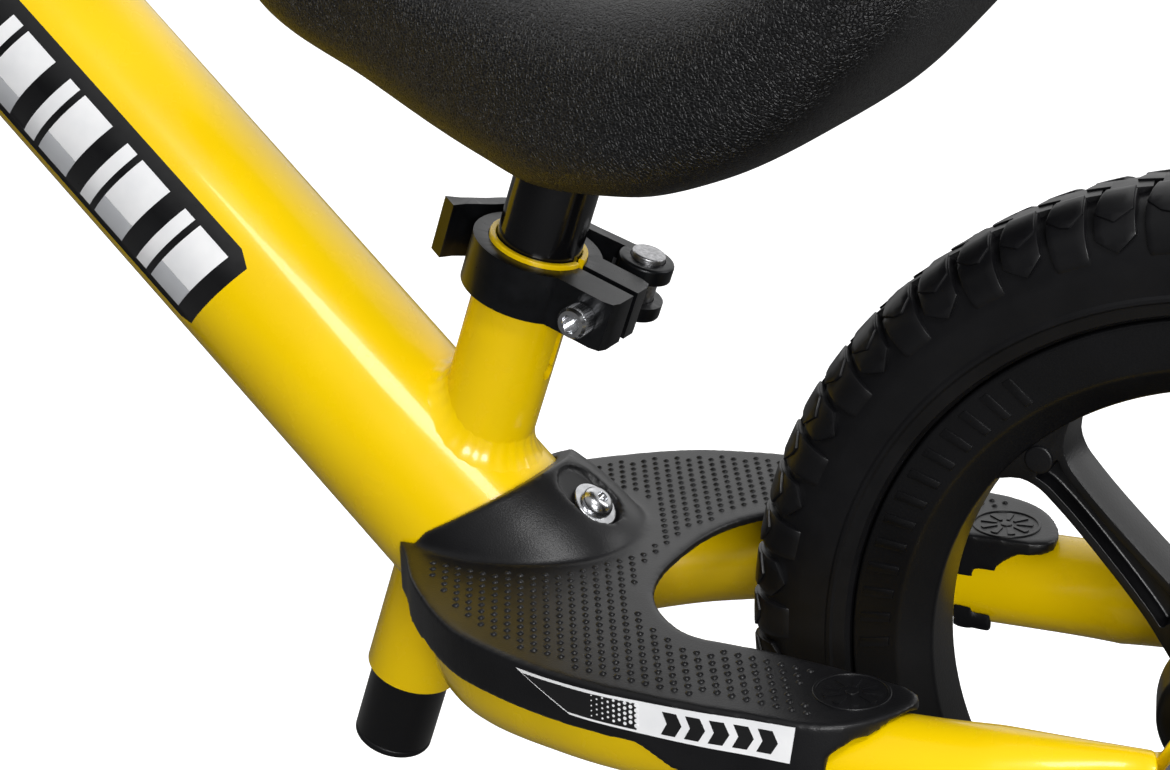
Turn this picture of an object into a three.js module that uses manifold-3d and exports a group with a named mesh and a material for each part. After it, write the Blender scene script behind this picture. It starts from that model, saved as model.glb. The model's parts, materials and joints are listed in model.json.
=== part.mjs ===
// A child's balance bike: two 298 mm wheels with foam tyres, a steel frame with a bolted-on
// footrest, and a saddle and a handlebar that slide in quick-release collars.
// Millimetres, +X forwards, +Y to the rider's left, +Z up, origin on the ground midway
// between the axles.
import * as THREE from "three";
import { mergeVertices } from "three/addons/utils/BufferGeometryUtils.js";
import Module from "manifold-3d";

const wasm = await Module();
wasm.setup();

// ---- driving dimensions ----
const WHEELBASE = 636;
const REAR_X = 277.5; // the zero that the bike is drawn from is this far ahead of the rear axle
const WHEEL_R = 149;
const TYRE_HALF_WIDTH = 22;
const BEAD_R = 113.5;
const RIM_INNER_R = 90.6;
const HUB_R = 22;
const HUB_HALF = 30;
const SPOKES = 3;
const FIRST_SPOKE = 45; // degrees up from straight ahead
const AXLE_R = 5;
const GAP = 0.3; // clearance between pieces that touch

const MAIN_R = 31.5;
const MAIN_WALL = 1.8;
const MAIN_ANGLE = 42; // degrees above the horizontal, rising forwards
const SEAT_ANGLE = 70.93; // degrees, leaning back
const SEAT_R = 15.9;
const SEAT_BORE_R = 13.9;
const POST_R = 13.6;
const HEAD_ANGLE = 68;
const HEAD_R = 21;
const FORK_OFFSET = 15;
const STEERER_R = 14.3;
const BAR_POST_R = 11.1;
const BAR_R = 9.5;

const JUNCTION_X = -15.3; // where the seat tube's axis crosses the height of the axles
const MAIN_Z = 12.84; // the main tube's axis above that point
const DECK_Z = 6.6; // footrest's top face above the axles
const DECK_THICK = 3.2;
const STAY_R = 15.6;

const REAR_DROPOUT_Y = 49; // inner faces of the rear dropouts
const FRONT_DROPOUT_Y = 45;
const DROPOUT_THICK = 5;
const ROUND = 24; // sides of the larger round pieces

const COLLAR_WALL = 5;
const COLLAR_HEIGHT = 16.5;
const CLAMP_PIN_X = -26.8; // cam pivot, behind and to the right of the collar
const CLAMP_PIN_Y = -24.5;

// ---- materials ----
function finish(color, roughness, metalness) {
  return new THREE.MeshStandardMaterial({ color, roughness, metalness });
}
const yellowPaint = finish(0xf5d400, 0.25, 0.0);
const blackPaint = finish(0x0b0b0c, 0.15, 0.0);
const anodised = finish(0x141416, 0.35, 0.6);
const nylon = finish(0x1b1b1d, 0.5, 0.0);
const rubberFoam = finish(0x111112, 0.6, 0.0);
const leatherFoam = finish(0x17171a, 0.7, 0.0);
const zinc = finish(0xc9c9cc, 0.3, 0.9);
const steel = finish(0x9a9a9c, 0.35, 0.9);

// ---- shape helpers ----
const rad = THREE.MathUtils.degToRad;

function toSolid(geometry) {
  const plain = geometry.index ? geometry.toNonIndexed() : geometry.clone();
  plain.deleteAttribute("normal");
  plain.deleteAttribute("uv");
  const merged = mergeVertices(plain, 1e-4);
  return new wasm.Manifold(
    new wasm.Mesh({
      numProp: 3,
      vertProperties: merged.attributes.position.array,
      triVerts: new Uint32Array(merged.index.array),
    }),
  );
}

function toGeometry(solid) {
  const mesh = solid.getMesh();
  const geometry = new THREE.BufferGeometry();
  geometry.setAttribute("position", new THREE.BufferAttribute(mesh.vertProperties, 3));
  geometry.setIndex(new THREE.BufferAttribute(mesh.triVerts, 1));
  geometry.computeVertexNormals();
  return geometry;
}

function join(...geometries) {
  return toGeometry(geometries.map(toSolid).reduce((all, next) => all.add(next)));
}

function cut(geometry, ...tools) {
  const left = tools.map(toSolid).reduce((rest, tool) => rest.subtract(tool), toSolid(geometry));
  return toGeometry(left);
}

function common(a, b) {
  return toGeometry(toSolid(a).intersect(toSolid(b)));
}

// A solid turned about Z from (radius, height) points that start and end on the axis, or a
// ring from points that close on themselves. Points run upwards on the outside.
function turned(points, sides = ROUND) {
  return new THREE.LatheGeometry(points.map(([r, z]) => new THREE.Vector2(r, z)), sides);
}

// The outer side of a round piece from z0 up to z1, with its two edges chamfered or left sharp.
function outerSide(radius, z0, z1, chamfer) {
  if (!chamfer) return [[radius, z0], [radius, z1]];
  return [[radius - chamfer, z0], [radius, z0 + chamfer], [radius, z1 - chamfer], [radius - chamfer, z1]];
}

function rod(radius, z0, z1, sides = ROUND, chamfer = 0) {
  const points = [[0, z0], ...outerSide(radius, z0, z1, chamfer), [0, z1]];
  return turned(points, sides).rotateX(Math.PI / 2);
}

function ring(outer, inner, z0, z1, sides = ROUND, chamfer = 0) {
  const points = [[inner, z0], ...outerSide(outer, z0, z1, chamfer), [inner, z1], [inner, z0]];
  return turned(points, sides).rotateX(Math.PI / 2);
}

function block(x0, x1, y0, y1, z0, z1) {
  const box = new THREE.BoxGeometry(x1 - x0, y1 - y0, z1 - z0);
  return box.translate((x0 + x1) / 2, (y0 + y1) / 2, (z0 + z1) / 2);
}

function hexRod(acrossFlats, z0, z1) {
  return rod(acrossFlats / Math.sqrt(3), z0, z1, 6);
}

function alongY(geometry) {
  return geometry.rotateX(-Math.PI / 2);
}

// A flat outline in X and Y, extruded from z0 to z1.
function slab(points, z0, z1) {
  const shape = new THREE.Shape(points.map(([x, y]) => new THREE.Vector2(x, y)));
  return new THREE.ExtrudeGeometry(shape, { depth: z1 - z0, bevelEnabled: false }).translate(0, 0, z0);
}

// An outline in X and Z, extruded across Y from -halfWidth to halfWidth.
function sideSlab(points, halfWidth) {
  return slab(points, -halfWidth, halfWidth).rotateX(Math.PI / 2);
}

function tubeAlong(curve, radius, steps, sides = 16) {
  const section = new THREE.Shape().absarc(0, 0, radius, 0, Math.PI * 2, false);
  const curveSegments = sides / 2;
  return new THREE.ExtrudeGeometry(section, { steps, curveSegments, bevelEnabled: false, extrudePath: curve });
}

function curveThrough(points) {
  return new THREE.CatmullRomCurve3(points.map((p) => new THREE.Vector3(...p)));
}

// Each vertex of a geometry moved by a rule.
function reshape(geometry, rule) {
  const position = geometry.attributes.position;
  const point = new THREE.Vector3();
  for (let i = 0; i < position.count; i++) {
    point.fromBufferAttribute(position, i);
    rule(point);
    position.setXYZ(i, point.x, point.y, point.z);
  }
  return geometry;
}

function frameAt(x, z, tiltDegrees) {
  const matrix = new THREE.Matrix4().makeRotationY(rad(tiltDegrees));
  return matrix.setPosition(x, 0, z);
}

function placed(geometry, matrix) {
  return geometry.clone().applyMatrix4(matrix);
}

// ---- frames that the pieces are drawn in ----
// Local +Z runs up the tube and local +X forwards.
const seatFrame = frameAt(JUNCTION_X, WHEEL_R, SEAT_ANGLE - 90);
const headAxisX = WHEELBASE - REAR_X - FORK_OFFSET * Math.sin(rad(HEAD_ANGLE));
const headAxisZ = WHEEL_R - FORK_OFFSET * Math.cos(rad(HEAD_ANGLE));
const headFrame = frameAt(headAxisX, headAxisZ, HEAD_ANGLE - 90);
// Local +Z runs up and forwards along the main tube, and local -X is its upper side.
const mainFrame = frameAt(JUNCTION_X, WHEEL_R + MAIN_Z, 90 - MAIN_ANGLE);

const root = new THREE.Group();

function groupAt(matrix) {
  const group = new THREE.Group();
  group.applyMatrix4(matrix);
  root.add(group);
  return group;
}

const seatGroup = groupAt(seatFrame);
const headGroup = groupAt(headFrame);
const mainGroup = groupAt(mainFrame);

function add(group, name, geometry, material) {
  const mesh = new THREE.Mesh(geometry, material);
  mesh.name = name;
  group.add(mesh);
}

function inFrame(geometry, from, to) {
  return placed(placed(geometry, from), to.clone().invert());
}

// ---- frame tubes ----
const MAIN_END = -48; // the main tube's open rear end, under the footrest's hood
const MAIN_TOP = 365;
const TAPER_FROM = 262; // the tube is pressed narrower from here to meet the head tube
const TAPER_LENGTH = 80;
const TAPER = 0.34;
const SEAT_TOP = 108.5;
const SEAT_BOTTOM = -60.5;
const HEAD_LOW = 196;
const HEAD_HIGH = 306;
const HOOD_SCREW_ALONG = -37; // along the main tube
const SEAT_COLLAR_Z = 98.75;

const seatOuter = () => rod(SEAT_R + GAP, -80, 140);
const headOuter = () => rod(HEAD_R + GAP, HEAD_LOW - 30, HEAD_HIGH + 30);

// A slot down the back lets the collar squeeze the tube; a round hole ends it.
const SLOT_LOW = 68;
const SLOT_HALF = 1.6;
const SLOT_HOLE_R = 2.6;

function seatTube() {
  const slot = block(-20, 0, -SLOT_HALF, SLOT_HALF, SLOT_LOW, SEAT_TOP + 5);
  const hole = rod(SLOT_HOLE_R, 0, 20, 16).rotateY(-Math.PI / 2).translate(0, 0, SLOT_LOW);
  return cut(ring(SEAT_R, SEAT_BORE_R, SEAT_BOTTOM, SEAT_TOP), join(slot, hole));
}

// The main tube's wall, with enough rings round it near the top to be pressed narrower.
function longRing() {
  const heights = [MAIN_END, TAPER_FROM];
  for (let i = 1; i <= 6; i++) heights.push(TAPER_FROM + (TAPER_LENGTH * i) / 6);
  heights.push(MAIN_TOP);
  const outer = heights.map((z) => [MAIN_R, z]);
  const inner = heights.map((z) => [MAIN_R - MAIN_WALL, z]).reverse();
  return turned([...outer, ...inner, outer[0]], 40).rotateX(Math.PI / 2);
}

function mainTube() {
  const tube = reshape(longRing(), (p) => {
    const t = THREE.MathUtils.smoothstep(p.z, TAPER_FROM, TAPER_FROM + TAPER_LENGTH);
    p.y *= 1 - TAPER * t;
  });
  const screwHole = rod(2.9, 20, 40, 16).rotateY(-Math.PI / 2).translate(0, 0, HOOD_SCREW_ALONG);
  const pastHead = block(0, 120, -60, 60, HEAD_LOW - 40, HEAD_HIGH + 60);
  const head = inFrame(headOuter(), headFrame, mainFrame);
  const seat = inFrame(seatOuter(), seatFrame, mainFrame);
  return cut(tube, seat, head, inFrame(pastHead, headFrame, mainFrame), screwHole);
}

// One chain stay: it leaves the lower end of the main tube, bows out round the wheel and
// is pressed flat at the dropout.
const STAY_PATH = [[-36, 21, -26], [-44, 31, -27], [-62, 46, -24.5], [-88, 58, -20.5], [-125, 66.5, -16.5],
  [-200, 67.5, -12], [-235, 64, -9], [-262, 57.5, -4]];
const STAY_FLAT_X = -225; // the stay is round in front of this
const STAY_END_X = -262;
const STAY_FLAT = 0.5; // how far it is pressed flat at its end
const STAY_LOWERED = 0.2;

function stay(side, grow = 0) {
  const path = curveThrough(STAY_PATH.map(([x, y, z]) => [x, side * y, z + WHEEL_R]));
  const tube = tubeAlong(path, STAY_R + grow, 16, 12);
  return reshape(tube, (p) => {
    const t = THREE.MathUtils.clamp((STAY_FLAT_X - p.x) / (STAY_FLAT_X - STAY_END_X), 0, 1);
    const middle = side * THREE.MathUtils.lerp(65.5, 56.5, t);
    p.y = middle + (p.y - middle) * (1 - STAY_FLAT * t);
    p.z = WHEEL_R + (p.z - WHEEL_R) * (1 - STAY_LOWERED * t);
  });
}

// A flat plate inside each stay; its slot in the stay is the same shape grown by the gap.
const DROPOUT_PLATE = [[-14, 9], [-11, 11], [10, 11], [28, 4], [28, -11], [-11, -11], [-14, -9]];

function dropoutPlate(side, grow = 0) {
  const outline = DROPOUT_PLATE.map(([x, z]) => [x + Math.sign(x) * grow, z + Math.sign(z) * grow]);
  const middle = side * (REAR_DROPOUT_Y + DROPOUT_THICK / 2);
  return sideSlab(outline, DROPOUT_THICK / 2 + grow).translate(-REAR_X, middle, WHEEL_R);
}

function rearDropout(side) {
  const hole = alongY(rod(AXLE_R + GAP, -80, 80, 12)).translate(-REAR_X, 0, WHEEL_R);
  return cut(dropoutPlate(side), hole);
}

function frameStay(side) {
  const slot = dropoutPlate(side, GAP);
  const main = placed(rod(MAIN_R + GAP, MAIN_END - 20, 60, 40), mainFrame);
  return cut(stay(side), slot, main, placed(seatOuter(), seatFrame));
}

// ---- footrest ----
// Half outline of the deck, from the nose beside the main tube round the arm to the wheel
// opening: X from the rear axle and half width.
const DECK_OUTER = [[264, 31], [256, 40], [246, 53], [235, 64], [223, 74], [210, 82], [192, 88],
  [175, 91.5], [158, 93], [143, 92.5], [128, 91.5], [113, 89.5], [99, 88], [90, 84.5], [83, 78],
  [78, 70], [75.5, 62], [77, 57], [82, 54]];
const DECK_INNER = [[100, 52], [116, 51], [131, 51], [145, 52], [152, 50.5], [158, 47], [164, 42],
  [169, 36], [173, 29],
  [176, 20], [177.6, 10]];

function deckOutline(inset = 0) {
  const half = [...DECK_OUTER, ...DECK_INNER];
  const whole = [...half, [178, 0], ...half.slice().reverse().map(([x, y]) => [x, -y])];
  const points = whole.map(([x, y]) => new THREE.Vector2(x - REAR_X, y));
  return points.map((p, i) => {
    const before = points[(i + points.length - 1) % points.length];
    const after = points[(i + 1) % points.length];
    const normal = new THREE.Vector2(after.y - before.y, before.x - after.x).normalize();
    return [p.x - normal.x * inset, p.y - normal.y * inset];
  });
}

// The skirt's lower edge seen from the side: shallow beside the deck, deep round the stays.
const SKIRT_SIDE = [[70, 20], [70, 2.5], [86, 1.5], [92, -3], [94, -27], [126, -27], [133, -15.5],
  [146, -9], [232, -8.6], [256, -11], [290, -15], [290, 20]];
// The hood over the tube's end: radius and height along the main tube.
const HOOD = [[0, -66], [30, -66], [37, -60], [40, -50], [39.5, -36], [38, -25], [35.6, -14], [33, -7],
  [0, -7]];
const HOOD_SHIFT = -2;
const SCREW_HOLE_R = 2.9;
const WASHER_R = 8;
const WASHER_LOW = 37.7; // from the main tube's axis
const WASHER_HIGH = 39;
const HOOD_LEAN = -19; // degrees: the hood's front edge slants back over the tube

// A shape drawn about Z, turned to stand square on the main tube's upper side at the screw.
function squareToMain(geometry) {
  return geometry.rotateY(-Math.PI / 2).translate(0, 0, HOOD_SCREW_ALONG);
}

function footrest() {
  const sideShape = sideSlab(SKIRT_SIDE.map(([x, z]) => [x - REAR_X, z]), 120);
  const body = common(slab(deckOutline(), -40, DECK_Z), sideShape);
  const hollow = slab(deckOutline(3), -50, DECK_Z - DECK_THICK);
  const shell = cut(body, hollow).translate(0, 0, WHEEL_R);
  const above = block(-100, 40, -60, 60, WHEEL_R + DECK_Z - 3, WHEEL_R + 60);
  const inFront = block(-80, 80, -60, 60, 0, 60).rotateY(rad(HOOD_LEAN)).translate(0, 0, -6);
  const bulge = cut(turned(HOOD, 40).rotateX(Math.PI / 2).translate(HOOD_SHIFT, 0, 0), inFront);
  const hood = common(placed(bulge, mainFrame), above);
  const screwWay = squareToMain(rod(SCREW_HOLE_R, 25, 60, 16));
  const seatLow = WASHER_LOW - GAP;
  const recessR = WASHER_R + 1;
  const recessLength = 7;
  const recessEnd = () => squareToMain(rod(recessR, seatLow, 60, 32));
  const recess = join(
    recessEnd(),
    block(-60, -seatLow, -recessR, recessR, HOOD_SCREW_ALONG, HOOD_SCREW_ALONG + recessLength),
    recessEnd().translate(0, 0, recessLength),
  );
  const tube = placed(rod(MAIN_R + GAP, MAIN_END - 30, 60, 40), mainFrame);
  const openBelow = block(106 - REAR_X, 205 - REAR_X, -57, 57, 90, WHEEL_R + DECK_Z - DECK_THICK);
  const seatRoom = placed(rod(SEAT_R + 3.5, -80, 140), seatFrame);
  const screwRoom = [placed(screwWay, mainFrame), placed(recess, mainFrame)];
  return cut(join(shell, hood), tube, openBelow, seatRoom, ...screwRoom, stay(1, GAP), stay(-1, GAP));
}

// The one screw that holds the footrest on, square to the main tube, on a wide washer.
function footrestWasher() {
  return squareToMain(ring(WASHER_R, SCREW_HOLE_R + GAP, WASHER_LOW, WASHER_HIGH, 20));
}

function footrestScrew() {
  const low = WASHER_HIGH + GAP;
  const shank = rod(SCREW_HOLE_R - GAP, low - 15.3, low + 0.7, 12);
  const dome = [[0, low], [5.6, low], [5.6, low + 0.7], [4.6, low + 2.7], [2.6, low + 3.7], [0, low + 3.7]];
  const head = turned(dome, 16).rotateX(Math.PI / 2);
  return squareToMain(cut(join(shank, head), hexRod(3, low + 1.7, low + 7)));
}

// ---- quick-release collar, its bolt, washer, cam barrel and lever ----
// Drawn about the tube's axis with the collar's middle at z = 0; the split faces backwards.
const EAR_BACK = -36;
const EAR_LEFT = 14;
const EAR_RIGHT = -11.5;
const CAM_R = 9.2;
const CAM_SHIFT = 0.5;
const BARREL_R = 5.6;
const CLAMP_BOLT_R = 2.9;
const LEVER_HALF = 9.5;
const COLLAR_SPLIT = 1.5; // half the split's width
const LEVER_REACH = 26; // radius of the lever's arm
const LEVER_THICK = 4.2;
const LEVER_CLEAR_R = 22.3; // the arm stays outside this radius, round the collar
const BOLT_SLOT_HALF = 4.2;
const boltAcross = (radius, y0, y1) => alongY(rod(radius, y0, y1, 12)).translate(CLAMP_PIN_X, 0, 0);

function collar(tubeR) {
  const inner = tubeR + GAP;
  const half = COLLAR_HEIGHT / 2;
  const round = ring(tubeR + COLLAR_WALL, inner, -half, half, ROUND, 1);
  const ears = slab(
    [[-tubeR + 1, EAR_RIGHT], [-tubeR + 1, EAR_LEFT], [EAR_BACK + 3, EAR_LEFT], [EAR_BACK, EAR_LEFT - 3],
      [EAR_BACK, EAR_RIGHT + 3], [EAR_BACK + 3, EAR_RIGHT]], -half, half,
  );
  const split = block(EAR_BACK - 5, 0, -COLLAR_SPLIT, COLLAR_SPLIT, -20, 20);
  return cut(join(round, ears), rod(inner, -20, 20, ROUND), split, boltAcross(CLAMP_BOLT_R + GAP, -30, 30));
}

function clampBolt() {
  const head = alongY(rod(5, EAR_LEFT + GAP, EAR_LEFT + 7.3, 16, 0.6)).translate(CLAMP_PIN_X, 0, 0);
  const socket = alongY(hexRod(5, EAR_LEFT + 3.8, EAR_LEFT + 9)).translate(CLAMP_PIN_X, 0, 0);
  return cut(join(boltAcross(CLAMP_BOLT_R, CLAMP_PIN_Y - 3, EAR_LEFT + 1), head), socket);
}

function clampWasher() {
  const body = boltAcross(7, EAR_RIGHT - 3, EAR_RIGHT - GAP);
  const camRoom = rod(CAM_R + 0.4, -20, 20, 24).translate(CLAMP_PIN_X, CLAMP_PIN_Y + CAM_SHIFT, 0);
  return cut(body, boltAcross(CLAMP_BOLT_R + GAP, -30, 0), camRoom);
}

function clampBarrel() {
  const barrel = rod(BARREL_R, -LEVER_HALF - 1.5, LEVER_HALF + 1.8, 16);
  barrel.translate(CLAMP_PIN_X, CLAMP_PIN_Y, 0);
  return cut(barrel, boltAcross(CLAMP_BOLT_R + GAP, CLAMP_PIN_Y - 4, 0));
}

// The arm wraps the right side of the collar and ends in a flared thumb blade in front.
function lever() {
  const spine = [[CLAMP_PIN_X, CLAMP_PIN_Y - 2.5], [-16, -26.4]];
  for (let a = -100; a <= -20; a += 16) {
    spine.push([LEVER_REACH * Math.cos(rad(a)), LEVER_REACH * Math.sin(rad(a))]);
  }
  spine.push([28, -3.2], [32, 3.5]);
  const curve = curveThrough(spine.map(([x, y]) => [x, y, 0]));
  const outside = [];
  const inside = [];
  const STEPS = 14;
  for (let i = 0; i <= STEPS; i++) {
    const t = i / STEPS;
    const at = curve.getPointAt(t);
    const along = curve.getTangentAt(t);
    const half = t > 0.95 ? LEVER_THICK / 2 + 0.5 : LEVER_THICK / 2;
    outside.push([at.x + along.y * half, at.y - along.x * half]);
    inside.unshift([at.x - along.y * half, at.y + along.x * half]);
  }
  const arm = slab([...outside, ...inside], -LEVER_HALF, LEVER_HALF);
  const head = rod(CAM_R, -LEVER_HALF, LEVER_HALF, 20).translate(CLAMP_PIN_X, CLAMP_PIN_Y + CAM_SHIFT, 0);
  const h = BOLT_SLOT_HALF;
  const slot = join(
    rod(CAM_R + 2, -h, h, 16).translate(CLAMP_PIN_X, CLAMP_PIN_Y, 0),
    block(CLAMP_PIN_X - 12, CLAMP_PIN_X + 9, CLAMP_PIN_Y, CLAMP_PIN_Y + 14, -h, h),
  );
  const bore = rod(BARREL_R + GAP, -20, 20, 16).translate(CLAMP_PIN_X, CLAMP_PIN_Y, 0);
  return cut(join(arm, head), slot, bore, rod(LEVER_CLEAR_R, -20, 20, ROUND));
}

function addClamp(group, prefix, tubeR, height) {
  const at = new THREE.Group();
  at.position.z = height;
  group.add(at);
  add(at, prefix + "_clamp_collar", collar(tubeR), anodised);
  add(at, prefix + "_clamp_bolt", clampBolt(), zinc);
  add(at, prefix + "_clamp_washer", clampWasher(), anodised);
  add(at, prefix + "_clamp_barrel", clampBarrel(), steel);
  add(at, prefix + "_clamp_lever", lever(), anodised);
}

// ---- wheels ----
// Drawn about Y with the hub at the origin.
function wheelRing(points, sides) {
  return new THREE.LatheGeometry(points.map(([r, y]) => new THREE.Vector2(r, y)), sides);
}

function mirrored(half) {
  const other = half.slice().reverse().map(([r, y]) => [r, -y]);
  return [...half, ...other, half[0]];
}

// Half profiles run from -Y inwards to the middle; the other half mirrors them.
const TYRE_HALF = [[BEAD_R + GAP, -17], [120, -20.5], [134, -TYRE_HALF_WIDTH], [142, -18.6],
  [WHEEL_R, -6]];
const RIM_HALF = [[RIM_INNER_R, -9], [99, -16.5], [BEAD_R, -16.8]];

function tyre() {
  return wheelRing(mirrored(TYRE_HALF), 40);
}

function spoke(angle) {
  const ROOT = HUB_R - 3;
  const TIP = RIM_INNER_R + 3;
  const FLANGE_OUT = 8.5;
  const FLANGE_IN = 5.5;
  const wideHalf = [[ROOT, -7.5], [30, -6], [70, -4.6], [84, -5], [TIP, -9]];
  const wide = [...wideHalf, ...wideHalf.slice().reverse().map(([x, y]) => [x, -y])];
  const narrow = [[ROOT, -1.8], [TIP, -1.8], [TIP, 1.8], [ROOT, 1.8]];
  const lie = (g) => g.rotateX(Math.PI / 2);
  const near = lie(slab(wide, FLANGE_IN, FLANGE_OUT));
  const far = lie(slab(wide, -FLANGE_OUT, -FLANGE_IN));
  const web = lie(slab(narrow, -FLANGE_IN - 0.5, FLANGE_IN + 0.5));
  return [near, far, web].map((g) => g.rotateY(-rad(angle)));
}

const BEARING_R = 13;
const BEARING_WIDTH = 8;
const SPACER_R = 8;
const NUT_FLATS = 15;
const NUT_THICK = 8;

function rim() {
  const boreR = AXLE_R + 1.2;
  const hubHalf = [[boreR, -HUB_HALF], [HUB_R - 5, -HUB_HALF], [HUB_R, -HUB_HALF + 14]];
  const hub = wheelRing(mirrored(hubHalf), 24);
  const rimRing = wheelRing(mirrored(RIM_HALF), 40);
  const spokes = Array.from({ length: SPOKES }, (_, i) => spoke(FIRST_SPOKE + (i * 360) / SPOKES)).flat();
  const seats = [-1, 1].map((side) => {
    const low = side > 0 ? HUB_HALF - BEARING_WIDTH - 0.6 : -HUB_HALF - 5;
    return alongY(rod(BEARING_R + GAP, low, low + BEARING_WIDTH + 5.6, 16));
  });
  const bore = alongY(rod(boreR, -60, 60, 12));
  return cut(join(rimRing, hub, ...spokes), bore, ...seats);
}

function addWheel(group, prefix, dropoutY) {
  add(group, prefix + "_tyre", tyre(), rubberFoam);
  add(group, prefix + "_rim", rim(), nylon);
  for (const side of [1, -1]) {
    const hand = side > 0 ? "_left" : "_right";
    const across = (r, r0, a, b, sides) => {
      const [low, high] = side > 0 ? [a, b] : [-b, -a];
      return alongY(ring(r, r0, low, high, sides));
    };
    const start = HUB_HALF - BEARING_WIDTH;
    const bearing = across(BEARING_R, AXLE_R + GAP, start, HUB_HALF - GAP, 16);
    add(group, prefix + "_bearing" + hand, bearing, steel);
    const spacer = across(SPACER_R, AXLE_R + GAP, HUB_HALF, dropoutY - GAP, 12);
    add(group, prefix + "_spacer" + hand, spacer, steel);
    const nutAt = dropoutY + DROPOUT_THICK + 2.2;
    const low = side > 0 ? nutAt : -nutAt - NUT_THICK;
    const nutBody = alongY(hexRod(NUT_FLATS, low, low + NUT_THICK));
    const nut = cut(nutBody, alongY(rod(AXLE_R + GAP, -90, 90, 12)));
    add(group, prefix + "_axle_nut" + hand, nut, zinc);
  }
  const half = dropoutY + DROPOUT_THICK + 12;
  add(group, prefix + "_axle", alongY(rod(AXLE_R, -half, half, 12)), zinc);
}

// ---- fork and headset, drawn in the steering frame ----
const CROWN_LOW = 176;
const CROWN_HIGH = 188;
const CROWN_R = 19;
const LEG_R = 10.5;
const STEERER_TOP = 348;
const BAR_COLLAR_Z = 338;

function forkCrown() {
  return ring(CROWN_R, STEERER_R - 2.8, CROWN_LOW, CROWN_HIGH, ROUND, 1.5);
}

function forkLeg(side) {
  const top = [[0, side * 13, 179], [0, side * 24, 176], [0, side * 38, 166], [1, side * 44.5, 144]];
  const path = curveThrough([...top,
    [4, side * 47.5, 90], [9, side * 49.5, 40], [13, side * 50, 14]]);
  const leg = tubeAlong(path, LEG_R, 14, 12);
  return cut(leg, rod(CROWN_R + GAP, CROWN_LOW - 8, CROWN_HIGH + 20), forkPlate(side, GAP));
}

function forkPlate(side, grow = 0) {
  const y0 = side > 0 ? FRONT_DROPOUT_Y : -FRONT_DROPOUT_Y - DROPOUT_THICK;
  const outline = [
    [2 - grow, -14 - grow], [FORK_OFFSET + 11 + grow, -12 - grow],
    [FORK_OFFSET + 9 + grow, 40 + grow], [-grow, 44 + grow],
  ];
  return slab(outline, -y0 - DROPOUT_THICK - grow, -y0 + grow).rotateX(Math.PI / 2);
}

function forkDropout(side) {
  return cut(forkPlate(side), alongY(rod(AXLE_R + GAP, -80, 80, 12)).translate(FORK_OFFSET, 0, 0));
}

function steerer() {
  const slot = block(-20, 0, -1.5, 1.5, BAR_COLLAR_Z - 18, STEERER_TOP + 5);
  return cut(ring(STEERER_R, BAR_POST_R + GAP, CROWN_HIGH + GAP, STEERER_TOP), slot);
}

// ---- handlebar, drawn in the steering frame ----
const BAR_CENTRE_Z = 388;
const POST_FOOT_Z = 235;
const GRIP_FROM = [-6, 104, 435];
const GRIP_TO = [-14, 190, 438];

function barCurve() {
  const rise = [[-3, 88, 430], [-1, 72, 416], [0, 52, 398]];
  const half = [GRIP_TO, GRIP_FROM, ...rise, [0, 30, BAR_CENTRE_Z]];
  const other = half.slice().reverse().map(([x, y, z]) => [x, -y, z]);
  return curveThrough([...half, ...other]);
}

function barTube(grow = 0) {
  return tubeAlong(barCurve(), BAR_R + grow, 28, 10);
}

function barPost() {
  const post = ring(BAR_POST_R, BAR_POST_R - 2, POST_FOOT_Z, BAR_CENTRE_Z);
  return cut(post, barTube(GAP));
}

const CROSSBAR_X = -1.5;
const CROSSBAR_Z = 420;
const CROSSBAR_R = 5.5;
const CROSSBAR_HALF = 76; // it ends against the bends of the bar
const PAD_R = 15;
const PAD_HALF = 42;

function crossbar() {
  const bar = alongY(rod(CROSSBAR_R, -CROSSBAR_HALF, CROSSBAR_HALF, 16));
  return cut(bar.translate(CROSSBAR_X, 0, CROSSBAR_Z), barTube(GAP));
}

function barPad() {
  const pad = alongY(rod(PAD_R, -PAD_HALF, PAD_HALF, 16, 3));
  const bore = alongY(rod(CROSSBAR_R + GAP, -60, 60, 16));
  return cut(pad, bore).translate(CROSSBAR_X, 0, CROSSBAR_Z);
}

function grip(side) {
  const from = new THREE.Vector3(GRIP_FROM[0], side * GRIP_FROM[1], GRIP_FROM[2]);
  const to = new THREE.Vector3(GRIP_TO[0], side * GRIP_TO[1], GRIP_TO[2]);
  const way = to.clone().sub(from).normalize();
  const turn = new THREE.Quaternion().setFromUnitVectors(new THREE.Vector3(0, 0, 1), way);
  const flange = [[0, 6], [18, 6], [18, 9]];
  const endKnob = [[14, 78], [20, 84], [20, 92], [17, 95], [0, 95]];
  const profile = [...flange, [14, 11], ...endKnob];
  const sleeve = turned(profile, 16).rotateX(Math.PI / 2);
  sleeve.applyQuaternion(turn).translate(from.x, from.y, from.z);
  return cut(sleeve, barTube(GAP));
}

// ---- saddle and its post, drawn in the seat frame or the row frame ----
const POST_LOW = -92;
const POST_HIGH = 150;

function seatPost() {
  return ring(POST_R, POST_R - 2, POST_LOW + 4, POST_HIGH);
}

function postPlug() {
  const neckR = POST_R - 2.4;
  const cap = [[0, POST_LOW - 1], [POST_R - 3, POST_LOW - 1], [POST_R, POST_LOW + 1.5], [POST_R, POST_LOW + 3.7]];
  const neck = [[neckR, POST_LOW + 3.7], [neckR, POST_LOW + 14], [0, POST_LOW + 14]];
  return turned([...cap, ...neck]).rotateX(Math.PI / 2);
}

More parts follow.
